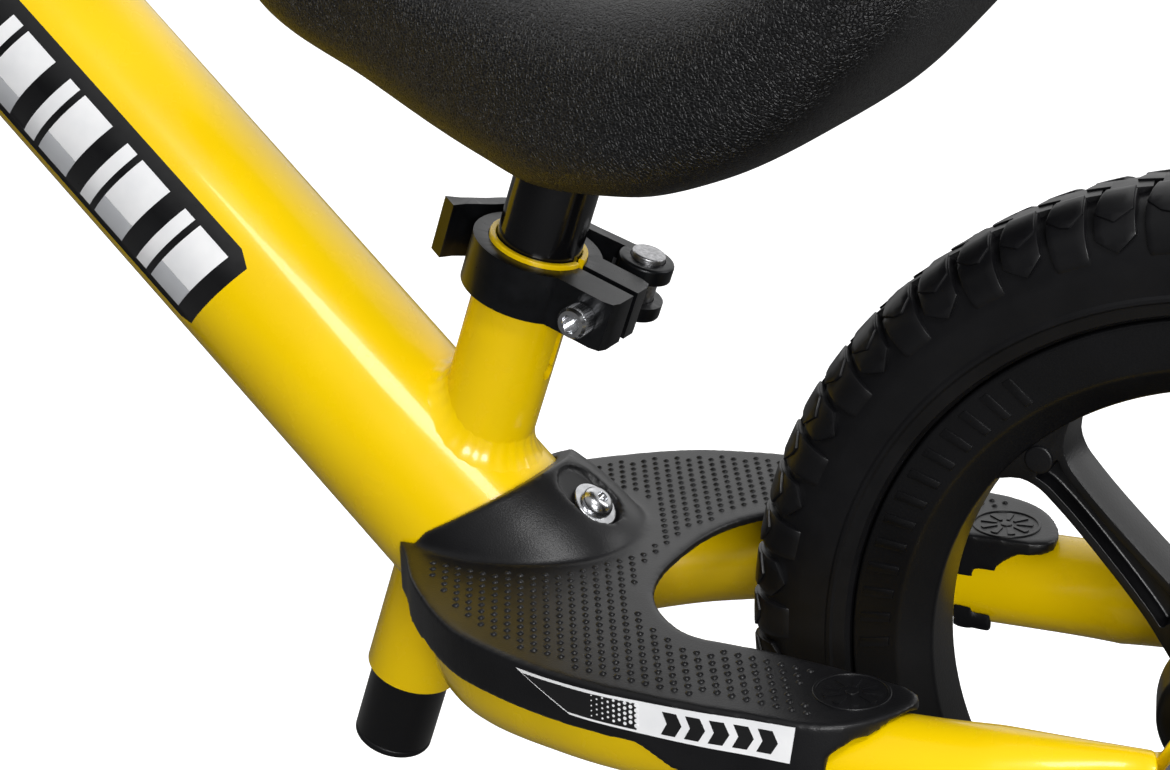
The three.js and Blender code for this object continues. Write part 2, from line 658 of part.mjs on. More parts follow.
// The saddle's upper and lower lines and half width along its length, as X from the rear axle.
const SADDLE_REAR = 82;
const SADDLE_FRONT = 326;
const saddleLine = (points) => points.map(([x, v]) => new THREE.Vector2(x, v));
const saddleLow = saddleLine([[82, 205], [89, 188], [100, 174], [120, 154], [146, 139], [172, 131], [201, 129],
  [225, 135], [270, 152], [313, 171], [326, 190]]);
const saddleHigh = saddleLine([[82, 212], [96, 221], [122, 212], [155, 198], [190, 192], [230, 195],
  [270, 204], [300, 210], [318, 208], [326, 198]]);
const saddleWide = saddleLine([[82, 34], [89, 54], [103, 62], [128, 64], [162, 60], [200, 52],
  [240, 41], [275, 32], [305, 26], [320, 19], [326, 10]]);
const SADDLE_SQUARE = 0.48; // 1 would make the section an ellipse, 0 a box

function valueAt(points, x) {
  const found = points.findIndex((p) => p.x >= x);
  const i = found < 0 ? points.length - 1 : Math.max(1, found);
  const [a, b] = [points[i - 1], points[i]];
  return THREE.MathUtils.lerp(a.y, b.y, THREE.MathUtils.clamp((x - a.x) / (b.x - a.x), 0, 1));
}

// A soft box swept along the saddle: its section swells and shrinks between the three lines.
function saddlePad() {
  const middle = (SADDLE_REAR + SADDLE_FRONT) / 2;
  const reach = (SADDLE_FRONT - SADDLE_REAR) / 2;
  const ball = new THREE.SphereGeometry(1, 20, 16).rotateZ(Math.PI / 2);
  const pad = reshape(ball, (p) => {
    const x = middle + reach * p.x;
    const across = Math.hypot(p.y, p.z) || 1;
    const full = p.x * p.x > 0.999 ? 0 : 1;
    const [cy, cz] = [p.y / across, p.z / across];
    const soft = (v) => (Math.abs(v) < 1e-5 ? 0 : Math.sign(v) * Math.pow(Math.abs(v), SADDLE_SQUARE));
    const [low, high] = [valueAt(saddleLow, x), valueAt(saddleHigh, x)];
    p.set(x - REAR_X, full * soft(cy) * valueAt(saddleWide, x),
      WHEEL_R + (low + high) / 2 + (full * soft(cz) * (high - low)) / 2);
  });
  const half = SOCKET_HALF + GAP;
  const room = block(SOCKET_REAR - GAP, SOCKET_FRONT + GAP, -half, half, 0, SOCKET_HIGH + GAP);
  return cut(pad, placed(room, seatFrame));
}

// The post ends in a moulded socket that is bedded in the saddle's foam.
const SOCKET_LOW = 141;
const SOCKET_HIGH = 158;
const SOCKET_REAR = -20;
const SOCKET_FRONT = 20;
const SOCKET_HALF = 16;

function saddleSocket() {
  const body = block(SOCKET_REAR, SOCKET_FRONT, -SOCKET_HALF, SOCKET_HALF, SOCKET_LOW, SOCKET_HIGH);
  return cut(body, rod(POST_R + GAP, 100, POST_HIGH + GAP));
}

function wheelGroup(x) {
  return groupAt(new THREE.Matrix4().makeTranslation(x, 0, WHEEL_R));
}

// Name, lower and upper height along the steering axis, outer and inner radius.
const HEADSET = [
  ["headset_crown_race", CROWN_HIGH + GAP, CROWN_HIGH + 3.4, 18.5, STEERER_R + GAP, steel],
  ["headset_lower_cup", CROWN_HIGH + 3.7, HEAD_LOW - GAP, HEAD_R, STEERER_R + 1, anodised],
  ["headset_lower_bearing", HEAD_LOW + 1, HEAD_LOW + 8, 19.3, STEERER_R + GAP, steel],
  ["headset_upper_bearing", HEAD_HIGH - 8, HEAD_HIGH - 1, 19.3, STEERER_R + GAP, steel],
  ["headset_upper_cup", HEAD_HIGH + GAP, HEAD_HIGH + 6, 22, STEERER_R + 1, anodised],
  ["headset_locknut", HEAD_HIGH + 6.3, HEAD_HIGH + 13, 19.5, STEERER_R + GAP, anodised],
];

add(mainGroup, "main_tube", mainTube(), yellowPaint);
add(seatGroup, "seat_tube", seatTube(), yellowPaint);
add(headGroup, "head_tube", ring(HEAD_R, 19.6, HEAD_LOW, HEAD_HIGH), yellowPaint);
for (const side of [1, -1]) {
  const hand = side > 0 ? "_left" : "_right";
  add(root, "stay" + hand, frameStay(side), yellowPaint);
  add(root, "rear_dropout" + hand, rearDropout(side), yellowPaint);
}
add(root, "footrest", footrest(), nylon);
add(mainGroup, "footrest_washer", footrestWasher(), zinc);
add(mainGroup, "footrest_screw", footrestScrew(), zinc);

addClamp(seatGroup, "seat", SEAT_R, SEAT_COLLAR_Z);
add(seatGroup, "seat_post", seatPost(), blackPaint);
add(seatGroup, "seat_post_plug", postPlug(), nylon);
add(root, "saddle_pad", saddlePad(), leatherFoam);
add(seatGroup, "saddle_socket", saddleSocket(), nylon);

add(headGroup, "fork_steerer", steerer(), blackPaint);
add(headGroup, "fork_crown", forkCrown(), blackPaint);
for (const side of [1, -1]) {
  const hand = side > 0 ? "_left" : "_right";
  add(headGroup, "fork_leg" + hand, forkLeg(side), blackPaint);
  add(headGroup, "fork_dropout" + hand, forkDropout(side), blackPaint);
}
for (const [name, z0, z1, outer, inner, material] of HEADSET) {
  add(headGroup, name, ring(outer, inner, z0, z1, 20), material);
}
addClamp(headGroup, "bar", STEERER_R, BAR_COLLAR_Z);
add(headGroup, "bar_post", barPost(), blackPaint);
add(headGroup, "bar_tube", barTube(), blackPaint);
add(headGroup, "crossbar", crossbar(), blackPaint);
add(headGroup, "bar_pad", barPad(), leatherFoam);
add(headGroup, "grip_left", grip(1), rubberFoam);
add(headGroup, "grip_right", grip(-1), rubberFoam);

addWheel(wheelGroup(-REAR_X), "rear", REAR_DROPOUT_Y);
addWheel(wheelGroup(WHEELBASE - REAR_X), "front", FRONT_DROPOUT_Y);

// The origin belongs midway between the axles.
root.position.x = REAR_X - WHEELBASE / 2;

export default root;
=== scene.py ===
import json
import math
import bpy
import bmesh
from mathutils import Matrix, Vector


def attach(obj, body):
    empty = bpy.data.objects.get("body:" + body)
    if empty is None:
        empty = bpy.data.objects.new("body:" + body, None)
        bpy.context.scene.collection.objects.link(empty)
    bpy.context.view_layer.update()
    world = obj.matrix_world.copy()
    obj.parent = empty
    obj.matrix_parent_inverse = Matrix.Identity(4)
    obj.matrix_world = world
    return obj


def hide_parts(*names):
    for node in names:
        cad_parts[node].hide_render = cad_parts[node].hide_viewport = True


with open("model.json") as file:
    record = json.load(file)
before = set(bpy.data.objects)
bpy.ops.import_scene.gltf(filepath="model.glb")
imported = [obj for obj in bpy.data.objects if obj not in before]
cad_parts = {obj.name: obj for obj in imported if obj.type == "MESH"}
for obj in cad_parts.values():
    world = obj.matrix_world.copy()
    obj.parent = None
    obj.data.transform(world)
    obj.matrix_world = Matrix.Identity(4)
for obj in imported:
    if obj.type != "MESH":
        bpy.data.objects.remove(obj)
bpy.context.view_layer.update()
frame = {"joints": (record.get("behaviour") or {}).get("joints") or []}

mm = 0.001
joints = {j["name"]: j for j in frame["joints"]}
bikeScene = bpy.context.scene


# ---------- where things are, worked out from the frame ----------

def tiltedFrame(origin, axis):
    up = Vector(axis).normalized()
    left = Vector((0, 1, 0))
    forward = left.cross(up).normalized()
    turn = Matrix((forward, left, up)).transposed().to_4x4()
    return Matrix.Translation(Vector(origin)) @ turn @ Matrix.Scale(mm, 4)


# where each clamp's cam turns: beside its tube and along it, in mm
camBarrel = {"x": -26.8, "y": -24.5, "seatHeight": 98.75, "barHeight": 338.0}
seatAxis = Vector(joints["seat_height"]["axis"])
steerAxis = Vector(joints["steering"]["axis"])
steerFrame = tiltedFrame(joints["steering"]["pos_m"], steerAxis)
seatTurn = tiltedFrame((0, 0, 0), seatAxis)
seatPivot = Vector(joints["seat_lever_swing"]["pos_m"])
seatOrigin = seatPivot - seatTurn @ Vector((camBarrel["x"], camBarrel["y"], camBarrel["seatHeight"]))
seatFrame = tiltedFrame(seatOrigin, seatAxis)
mainTube = {
    "radius": 31.5, "wall": 1.8, "angle": 42.0, "lift": 12.84, "end": -48.0, "top": 365.0,
    "taperFrom": 262.0, "taperLength": 80.0, "taper": 0.34,
}
mainAxis = Vector((math.cos(math.radians(mainTube["angle"])), 0, math.sin(math.radians(mainTube["angle"]))))
mainFrame = tiltedFrame(seatOrigin + Vector((0, 0, mainTube["lift"] * mm)), mainAxis)
rearHub = Vector(joints["rear_wheel_spin"]["pos_m"])
frontHub = Vector(joints["front_wheel_spin"]["pos_m"])
rearFrame = Matrix.Translation(rearHub) @ Matrix.Scale(mm, 4)  # X forwards, Y left, Z up, from the rear axle
frontFrame = Matrix.Translation(frontHub) @ Matrix.Scale(mm, 4)


# ---------- materials ----------

def srgb(hexColour):
    parts = [int(hexColour[i:i + 2], 16) / 255 for i in (1, 3, 5)]
    return [c / 12.92 if c <= 0.04045 else ((c + 0.055) / 1.055) ** 2.4 for c in parts] + [1.0]


def addNode(material, kind, values=None, **links):
    tree = material.node_tree
    node = tree.nodes.new(kind)
    for key, value in (values or {}).items():
        if isinstance(key, str) and hasattr(node, key) and key not in node.inputs:
            setattr(node, key, value)
        else:
            node.inputs[key].default_value = value
    for key, source in links.items():
        numbered = key[0] == "i" and key[1:].isdigit()
        target = node.inputs[int(key[1:]) if numbered else key.replace("_", " ")]
        tree.links.new(source, target)
    return node


def startMaterial(name, **settings):
    material = bpy.data.materials.new(name)
    material.use_nodes = True
    shader = material.node_tree.nodes["Principled BSDF"]
    for key, value in settings.items():
        shader.inputs[key.replace("_", " ")].default_value = value
    where = addNode(material, "ShaderNodeTexCoord")
    return material, shader, where.outputs["Object"]


def plug(material, source, target):
    material.node_tree.links.new(source, target)


def tintBetween(material, shader, source, dark, light):
    ramp = addNode(material, "ShaderNodeValToRGB", i0=source)
    ramp.color_ramp.elements[0].color = srgb(dark)
    ramp.color_ramp.elements[1].color = srgb(light)
    ramp.color_ramp.elements[0].position = 0.3
    ramp.color_ramp.elements[1].position = 0.7
    plug(material, ramp.outputs["Color"], shader.inputs["Base Color"])
    return ramp


def roughBetween(material, shader, source, low, high):
    spread = addNode(material, "ShaderNodeMapRange", {"To Min": low, "To Max": high}, i0=source)
    plug(material, spread.outputs["Result"], shader.inputs["Roughness"])


def bumpFrom(material, shader, source, strength, distance):
    bump = addNode(material, "ShaderNodeBump", {"Strength": strength, "Distance": distance}, Height=source)
    plug(material, bump.outputs["Normal"], shader.inputs["Normal"])
    return bump


def noise(material, where, millimetres, detail=3.0, roughness=0.5):
    values = {"Scale": 1000.0 / millimetres, "Detail": detail, "Roughness": roughness}
    return addNode(material, "ShaderNodeTexNoise", values, Vector=where).outputs[0]


def powderCoat(name, dark, light, rough):
    # polyester powder baked on steel: an even colour with a faint orange peel about 2 mm across
    material, shader, where = startMaterial(name, IOR=1.5, Specular_IOR_Level=0.3, Coat_Weight=0.3, Coat_Roughness=0.06)
    tintBetween(material, shader, noise(material, where, 45, 2.0), dark, light)
    roughBetween(material, shader, noise(material, where, 9), rough * 0.85, rough * 1.2)
    bumpFrom(material, shader, noise(material, where, 2.2, 2.0), 0.10, 0.0002)
    return material


def anodisedAluminium(name):
    # forged aluminium, bead blasted and dyed black: satin, with a grain near 0.4 mm
    material, shader, where = startMaterial(name, Metallic=0.55, IOR=1.5)
    tintBetween(material, shader, noise(material, where, 6), "#0F1012", "#1A1B1E")
    roughBetween(material, shader, noise(material, where, 1.2), 0.24, 0.36)
    bumpFrom(material, shader, noise(material, where, 0.45, 2.0), 0.12, 0.0001)
    return material


def mouldedNylon(name, dark, light, grain, rough):
    # glass-filled nylon out of a spark-eroded mould: an even pebbled grain
    material, shader, where = startMaterial(name, IOR=1.53, Specular_IOR_Level=0.3)
    tintBetween(material, shader, noise(material, where, 20, 3.0), dark, light)
    cells = addNode(material, "ShaderNodeTexVoronoi", {"Scale": 1000.0 / grain, "feature": "SMOOTH_F1"}, Vector=where)
    fine = noise(material, where, grain * 0.8, 2.0)
    both = addNode(material, "ShaderNodeMath", {"operation": "ADD"}, i0=cells.outputs["Distance"], i1=fine)
    roughBetween(material, shader, noise(material, where, 14), rough * 0.88, rough * 1.15)
    bumpFrom(material, shader, both.outputs[0], 0.28, 0.00012)
    return material


def evaFoam(name):
    # closed-cell EVA foam with a moulded skin: semi-matt, slightly cloudy, tiny pits about 0.7 mm apart
    material, shader, where = startMaterial(name, IOR=1.49, Specular_IOR_Level=0.32)
    tintBetween(material, shader, noise(material, where, 16, 4.0), "#08080A", "#0F0F11")
    roughBetween(material, shader, noise(material, where, 7, 4.0), 0.30, 0.46)
    pits = noise(material, where, 0.7, 3.0)
    swell = noise(material, where, 6.0, 2.0)
    both = addNode(material, "ShaderNodeMath", {"operation": "MULTIPLY_ADD", 1: 0.25}, i0=pits, i2=swell)
    bumpFrom(material, shader, both.outputs[0], 0.22, 0.0003)
    return material


def grainedPolyurethane(name):
    # self-skinning polyurethane foam from a leather-grained mould: wrinkled cells near 1.1 mm, soft sheen
    material, shader, where = startMaterial(name, IOR=1.48, Specular_IOR_Level=0.4)
    warp = addNode(material, "ShaderNodeTexNoise", {"Scale": 420.0, "Detail": 2.0}, Vector=where)
    bent = addNode(material, "ShaderNodeVectorMath", {"operation": "MULTIPLY_ADD", 1: (0.0012, 0.0012, 0.0012)},
                   i0=warp.outputs["Color"], i2=where)
    cells = addNode(material, "ShaderNodeTexVoronoi", {"Scale": 900.0, "feature": "DISTANCE_TO_EDGE"},
                    Vector=bent.outputs[0])
    crease = addNode(material, "ShaderNodeMapRange", {"From Max": 0.22, "To Max": 1.0}, i0=cells.outputs["Distance"])
    fine = noise(material, where, 0.5, 3.0)
    both = addNode(material, "ShaderNodeMath", {"operation": "MULTIPLY_ADD", 1: 0.5}, i0=fine, i2=crease.outputs[0])
    tintBetween(material, shader, noise(material, where, 3.0, 4.0), "#08080A", "#101012")
    roughBetween(material, shader, noise(material, where, 2.2, 4.0), 0.34, 0.52)
    bumpFrom(material, shader, both.outputs[0], 0.75, 0.00045)
    return material


def zincPlate(name):
    # bright zinc on steel: near mirror with faint cloudy haze
    material, shader, where = startMaterial(name, Metallic=1.0)
    tintBetween(material, shader, noise(material, where, 4), "#B9BABD", "#D9DADC")
    roughBetween(material, shader, noise(material, where, 2.5, 4.0), 0.14, 0.30)
    bumpFrom(material, shader, noise(material, where, 0.8), 0.05, 0.0001)
    return material


def turnedSteel(name):
    # steel faced on a lathe: fine scratches and a grey shine
    material, shader, where = startMaterial(name, Metallic=1.0)
    tintBetween(material, shader, noise(material, where, 1.0, 5.0), "#8E8E90", "#BDBDBF")
    roughBetween(material, shader, noise(material, where, 0.7, 4.0), 0.26, 0.44)
    bumpFrom(material, shader, noise(material, where, 0.4, 4.0), 0.14, 0.0001)
    return material


def wovenPolyester(name):
    # plain-weave polyester cover: threads 0.9 mm apart, drawn coarse enough to show
    material, shader, where = startMaterial(name, Roughness=0.8, Sheen_Weight=0.35, Sheen_Roughness=0.5)
    heights = []
    for direction in ("X", "Y", "Z"):
        values = {"Scale": 1000.0 / 0.9 / 2.0, "bands_direction": direction, "wave_type": "BANDS"}
        heights.append(addNode(material, "ShaderNodeTexWave", values, Vector=where).outputs["Fac"])
    two = addNode(material, "ShaderNodeMath", {"operation": "MAXIMUM"}, i0=heights[0], i1=heights[1])
    three = addNode(material, "ShaderNodeMath", {"operation": "MULTIPLY"}, i0=two.outputs[0], i1=heights[2])
    tintBetween(material, shader, noise(material, where, 5.0), "#141416", "#232326")
    bumpFrom(material, shader, three.outputs[0], 0.4, 0.0003)
    return material


def softRubber(name):
    # soft thermoplastic rubber: dull black with dusty highs
    material, shader, where = startMaterial(name, IOR=1.5)
    tintBetween(material, shader, noise(material, where, 8, 4.0), "#161618", "#212123")
    roughBetween(material, shader, noise(material, where, 5, 3.0), 0.48, 0.66)
    bumpFrom(material, shader, noise(material, where, 0.6, 3.0), 0.2, 0.0002)
    return material


finishes = {
    "yellow_paint": powderCoat("yellowPowderCoat", "#EEC600", "#F4CE00", 0.26),
    "black_paint": powderCoat("blackPowderCoat", "#08080A", "#0E0E10", 0.16),
    "black_anodised": anodisedAluminium("blackAnodisedAluminium"),
    "black_nylon": mouldedNylon("mouldedNylon", "#0D0D0F", "#151517", 0.55, 0.36),
    "rim_nylon": mouldedNylon("rimNylon", "#070708", "#0C0C0E", 0.8, 0.32),
    "tyre_foam": evaFoam("moulded_EVA_foam"),
    "saddle_skin": grainedPolyurethane("leatherGrainedPolyurethane"),
    "pad_cover": wovenPolyester("wovenPolyester"),
    "grip_rubber": softRubber("softRubber"),
    "zinc_steel": zincPlate("brightZincPlate"),
    "bare_steel": turnedSteel("turnedSteel"),
}
print("materials ready:", len(finishes))


# ---------- mesh tools, drawn in millimetres in a local frame ----------

def meshOf(verts, faces):
    bm = bmesh.new()
    made = [bm.verts.new(v) for v in verts]
    for face in faces:
        try:
            bm.faces.new([made[i] for i in face])
        except ValueError:
            pass
    bmesh.ops.remove_doubles(bm, verts=bm.verts, dist=1e-4)
    bmesh.ops.recalc_face_normals(bm, faces=bm.faces)
    return bm


def asObject(bm, name="work"):
    mesh = bpy.data.meshes.new(name)
    bm.to_mesh(mesh)
    bm.free()
    made = bpy.data.objects.new(name, mesh)
    bikeScene.collection.objects.link(made)
    return made


def lathe(profile, segments=96, closed=False):
    # profile of (radius, height); open ends sit on the axis, a closed one makes a ring
    verts, faces = [], []
    count = len(profile)
    for i in range(segments):
        a = 2 * math.pi * i / segments
        verts += [(r * math.cos(a), r * math.sin(a), z) for r, z in profile]
    for i in range(segments):
        here, there = i * count, ((i + 1) % segments) * count
        for k in range(count if closed else count - 1):
            n = (k + 1) % count
            faces.append((here + k, there + k, there + n, here + n))
    return asObject(cleaned(meshOf(verts, faces)))


def cleaned(bm):
    bmesh.ops.dissolve_degenerate(bm, edges=bm.edges, dist=1e-5)
    bmesh.ops.recalc_face_normals(bm, faces=bm.faces)
    return bm


def rounded(corners, radius, steps=4):
    # a profile with each inner corner turned into a short arc
    out = [corners[0]]
    for before, here, after in zip(corners, corners[1:], corners[2:]):
        b, h, a = Vector(before), Vector(here), Vector(after)
        cut = min(radius, (b - h).length * 0.45, (a - h).length * 0.45)
        start, end = h + (b - h).normalized() * cut, h + (a - h).normalized() * cut
        for k in range(steps + 1):
            t = k / steps
            out.append(tuple(start * (1 - t) ** 2 + h * 2 * t * (1 - t) + end * t ** 2))
    return out + [corners[-1]]


def rod(radius, z0, z1, soft=0.4, segments=64):
    return lathe(rounded([(0, z0), (radius, z0), (radius, z1), (0, z1)], soft), segments)


def pipe(outer, inner, z0, z1, soft=0.3, segments=96):
    ring = [(inner, z0), (outer, z0), (outer, z1), (inner, z1)]
    softRing = rounded([((inner + outer) / 2, z0)] + ring[1:] + [ring[0], ((inner + outer) / 2, z0)], soft)
    return lathe(softRing[:-1], segments, closed=True)


def prism(outline, z0, z1):
    count = len(outline)
    verts = [(x, y, z0) for x, y in outline] + [(x, y, z1) for x, y in outline]
    faces = [tuple(range(count)), tuple(range(count, 2 * count))]
    faces += [(i, (i + 1) % count, count + (i + 1) % count, count + i) for i in range(count)]
    return asObject(meshOf(verts, faces))


def brick(x0, x1, y0, y1, z0, z1):
    return prism([(x0, y0), (x1, y0), (x1, y1), (x0, y1)], z0, z1)


def smoothPath(points, steps):
    # Catmull-Rom through the points, evenly sampled
    pts = [Vector(p) for p in points]
    pts = [pts[0] * 2 - pts[1]] + pts + [pts[-1] * 2 - pts[-2]]
    out = []
    for i in range(1, len(pts) - 2):
        p0, p1, p2, p3 = pts[i - 1:i + 3]
        for k in range(steps):
            t = k / steps
            out.append(0.5 * (2 * p1 + (p2 - p0) * t + (2 * p0 - 5 * p1 + 4 * p2 - p3) * t * t
                              + (3 * p1 - p0 - 3 * p2 + p3) * t ** 3))
    return out + [pts[-2]]


def sweep(path, radiusAt, segments=32):
    # a closed round tube along a path
    verts, faces = [], []
    side = Vector((0, 1, 0))
    for i, p in enumerate(path):
        along = (path[min(i + 1, len(path) - 1)] - path[max(i - 1, 0)]).normalized()
        side = (side - along * side.dot(along)).normalized()
        up = along.cross(side)
        t = i / (len(path) - 1)
        for k in range(segments):
            a = 2 * math.pi * k / segments
            s, u = radiusAt(t) * math.cos(a), radiusAt(t) * math.sin(a)
            verts.append(tuple(p + side * s + up * u))
    for i in range(len(path) - 1):
        for k in range(segments):
            n = (k + 1) % segments
            faces.append((i * segments + k, i * segments + n, (i + 1) * segments + n, (i + 1) * segments + k))
    faces.append(tuple(range(segments)))
    faces.append(tuple(range((len(path) - 1) * segments, len(path) * segments)))
    return asObject(meshOf(verts, faces))


def turned(obj, matrix):
    obj.data.transform(matrix)
    if matrix.determinant() < 0:
        obj.data.flip_normals()
    return obj


def moved(obj, x=0, y=0, z=0):
    return turned(obj, Matrix.Translation((x, y, z)))


def acrossY(obj):
    return turned(obj, Matrix.Rotation(-math.pi / 2, 4, "X"))


def twin(obj):
    copy = bpy.data.objects.new(obj.name, obj.data.copy())
    bikeScene.collection.objects.link(copy)
    return copy


def applied(obj):
    graph = bpy.context.evaluated_depsgraph_get()
    graph.update()
    mesh = bpy.data.meshes.new_from_object(obj.evaluated_get(graph))
    obj.modifiers.clear()
    obj.data = mesh
    return obj


def modify(obj, kind, **settings):
    modifier = obj.modifiers.new(kind.lower(), kind)
    for key, value in settings.items():
        setattr(modifier, key, value)
    return applied(obj)


def discard(*objects):
    for obj in objects:
        bpy.data.objects.remove(obj)


def carve(obj, *tools, operation="DIFFERENCE"):
    for tool in tools:
        modify(obj, "BOOLEAN", object=tool, operation=operation, solver="EXACT")
        discard(tool)
    return obj


def joined(first, *others):
    bm = bmesh.new()
    for obj in (first, *others):
        bm.from_mesh(obj.data)
    bm.to_mesh(first.data)
    bm.free()
    discard(*others)
    return first


def bevelled(obj, width, segments=3, angle=32):
    return modify(obj, "BEVEL", width=width, segments=segments, limit_method="ANGLE",
                  angle_limit=math.radians(angle), harden_normals=False, use_clamp_overlap=True)


def shaded(obj, angle=38):
    obj.data.shade_smooth()
    obj.data.set_sharp_from_angle(angle=math.radians(angle))
    return obj


def piece(obj, name, body, slot, at, nodes=(), angle=38, material=None):
    turned(obj, at)
    shaded(obj, angle)
    obj.name = obj.data.name = name
    obj.data.materials.clear()
    obj.data.materials.append(material or finishes[slot])
    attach(obj, body)
    if nodes:
        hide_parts(*nodes)
    return obj


# ---------- shapes drawn flat and laid on a surface, and small shapes repeated ----------

def wrapped(outline, low, high, place, step=2.5, edge=0.0, across=True):
    # an outline (u, v) between two heights, cut into strips and then laid on a surface by place(u, v, h)
    work = prism(outline, low, high)
    if edge:
        bevelled(work, edge, 2)
    bm = bmesh.new()
    bm.from_mesh(work.data)
    for axis in (0, 1) if across else (0,):
        values = [v.co[axis] for v in bm.verts]
        at = min(values) + step
        while at < max(values):
            normal = (1, 0, 0) if axis == 0 else (0, 1, 0)
            point = (at, 0, 0) if axis == 0 else (0, at, 0)
            bmesh.ops.bisect_plane(bm, geom=bm.verts[:] + bm.edges[:] + bm.faces[:], plane_co=point, plane_no=normal)
            at += step
    bmesh.ops.triangulate(bm, faces=[f for f in bm.faces if len(f.verts) > 4])
    for vert in bm.verts:
        vert.co = place(*vert.co)
    bmesh.ops.recalc_face_normals(bm, faces=bm.faces)
    bm.to_mesh(work.data)
    bm.free()
    return work


def repeatTree():
    # every point of the incoming mesh carries one copy of Piece, turned a little more each time
    tree = bpy.data.node_groups.new("repeatPiece", "GeometryNodeTree")
    sockets = (("Geometry", "Geometry", None), ("Piece", "Object", None), ("Turn", "Vector", None),
               ("Size change", "Float", 0.0), ("Seed", "Int", 4), ("Material", "Material", None))
    for name, kind, value in sockets:
        made = tree.interface.new_socket(name, in_out="INPUT", socket_type="NodeSocket" + kind)
        if value is not None:
            made.default_value = value
    tree.interface.new_socket("Geometry", in_out="OUTPUT", socket_type="NodeSocketGeometry")

    def node(kind, **settings):
        made = tree.nodes.new(kind)
        for key, value in settings.items():
            setattr(made, key, value)
        return made

    given, out = node("NodeGroupInput"), node("NodeGroupOutput")
    info, index = node("GeometryNodeObjectInfo"), node("GeometryNodeInputIndex")
    turn, toTurn = node("ShaderNodeVectorMath", operation="SCALE"), node("FunctionNodeEulerToRotation")
    spread, size = node("ShaderNodeMath", operation="SUBTRACT"), node("FunctionNodeRandomValue", data_type="FLOAT")
    more = node("ShaderNodeMath", operation="ADD")
    scatter, real = node("GeometryNodeInstanceOnPoints"), node("GeometryNodeRealizeInstances")
    paint = node("GeometryNodeSetMaterial")
    spread.inputs[0].default_value = more.inputs[0].default_value = 1.0
    size.inputs["ID"].default_value = 0
    floats = [s for s in size.inputs if s.type == "VALUE"]
    wires = (
        (given.outputs["Piece"], info.inputs["Object"]), (given.outputs["Turn"], turn.inputs[0]),
        (index.outputs[0], turn.inputs["Scale"]), (turn.outputs[0], toTurn.inputs[0]),
        (given.outputs["Size change"], spread.inputs[1]), (given.outputs["Size change"], more.inputs[1]),
        (spread.outputs[0], floats[0]), (more.outputs[0], floats[1]), (index.outputs[0], size.inputs["ID"]),
        (given.outputs["Seed"], size.inputs["Seed"]), (given.outputs["Geometry"], scatter.inputs["Points"]),
        (info.outputs["Geometry"], scatter.inputs["Instance"]), (toTurn.outputs[0], scatter.inputs["Rotation"]),
        ([s for s in size.outputs if s.type == "VALUE"][0], scatter.inputs["Scale"]),
        (scatter.outputs[0], real.inputs[0]), (real.outputs[0], paint.inputs["Geometry"]),
        (given.outputs["Material"], paint.inputs["Material"]), (paint.outputs[0], out.inputs[0]),
    )
    for source, target in wires:
        tree.links.new(source, target)
    return tree


repeatPiece = repeatTree()


def repeated(small, spots, turn=(0, 0, 0), change=0.0, seed=4, slot="black_nylon"):
    mesh = bpy.data.meshes.new("spots")
    mesh.from_pydata([tuple(s) for s in spots], [], [])
    made = bpy.data.objects.new("repeated", mesh)
    bikeScene.collection.objects.link(made)
    modifier = made.modifiers.new("repeatPiece", "NODES")
    modifier.node_group = repeatPiece
    values = {"Piece": small, "Turn": turn, "Size change": change, "Seed": seed, "Material": finishes[slot]}
    for item in repeatPiece.interface.items_tree:
        if item.in_out == "INPUT" and item.name in values:
            modifier[item.identifier] = values[item.name]
    applied(made)
    discard(small)
    return made


def between(table, at):
    # a straight line between the two nearest rows of a table of (at, value)
    for (x0, v0), (x1, v1) in zip(table, table[1:]):
        if at <= x1:
            return v0 + (v1 - v0) * max(0.0, (at - x0) / (x1 - x0))
    return table[-1][1]


def smoothly(table, at):
    # a curve through the table that never turns over between two rows
    count = len(table)
    slopes = [(table[i + 1][1] - table[i][1]) / (table[i + 1][0] - table[i][0]) for i in range(count - 1)]
    tangents = [slopes[0]] + [0 if a * b <= 0 else 2 * a * b / (a + b) for a, b in zip(slopes, slopes[1:])]
    tangents.append(slopes[-1])
    for i in range(count - 1):
        (x0, v0), (x1, v1) = table[i], table[i + 1]
        if at <= x1 or i == count - 2:
            width = x1 - x0
            t = min(1.0, max(0.0, (at - x0) / width))
            return (v0 * (1 + 2 * t) * (1 - t) ** 2 + tangents[i] * width * t * (1 - t) ** 2
                    + v1 * t * t * (3 - 2 * t) + tangents[i + 1] * width * t * t * (t - 1))


# ---------- wheels ----------

tyreLook = {
    "blocks": 32, "blockEdge": 0.45,
    "surface": [(131.0, 21.4), (134.0, 22.0), (139.0, 21.0), (143.0, 18.5), (146.5, 14.0), (148.5, 8.0), (149.0, 0.0)],
    "sidewall": [(113.8, 0), (113.8, 16.9), (114.9, 18.6), (117.2, 19.3), (118.3, 19.6), (119.0, 20.35), (119.9, 20.4),
                 (120.7, 19.9), (124.5, 20.6), (128.5, 21.1), (131.2, 21.1), (134.4, 19.9), (139.0, 18.4), (142.0, 15.8),
                 (144.6, 12.0), (146.1, 7.0), (146.4, 0)],
}
treadLength = [0.0]
for (r0, y0), (r1, y1) in zip(tyreLook["surface"], tyreLook["surface"][1:]):
    treadLength.append(treadLength[-1] + math.hypot(r1 - r0, y1 - y0))
treadR = [(v, p[0]) for v, p in zip(treadLength, tyreLook["surface"])]
treadY = [(v, p[1]) for v, p in zip(treadLength, tyreLook["surface"])]
treadMid = treadLength[-1]
blockPitch = 2 * math.pi * 140 / tyreLook["blocks"]  # mm round the tyre at the shoulder


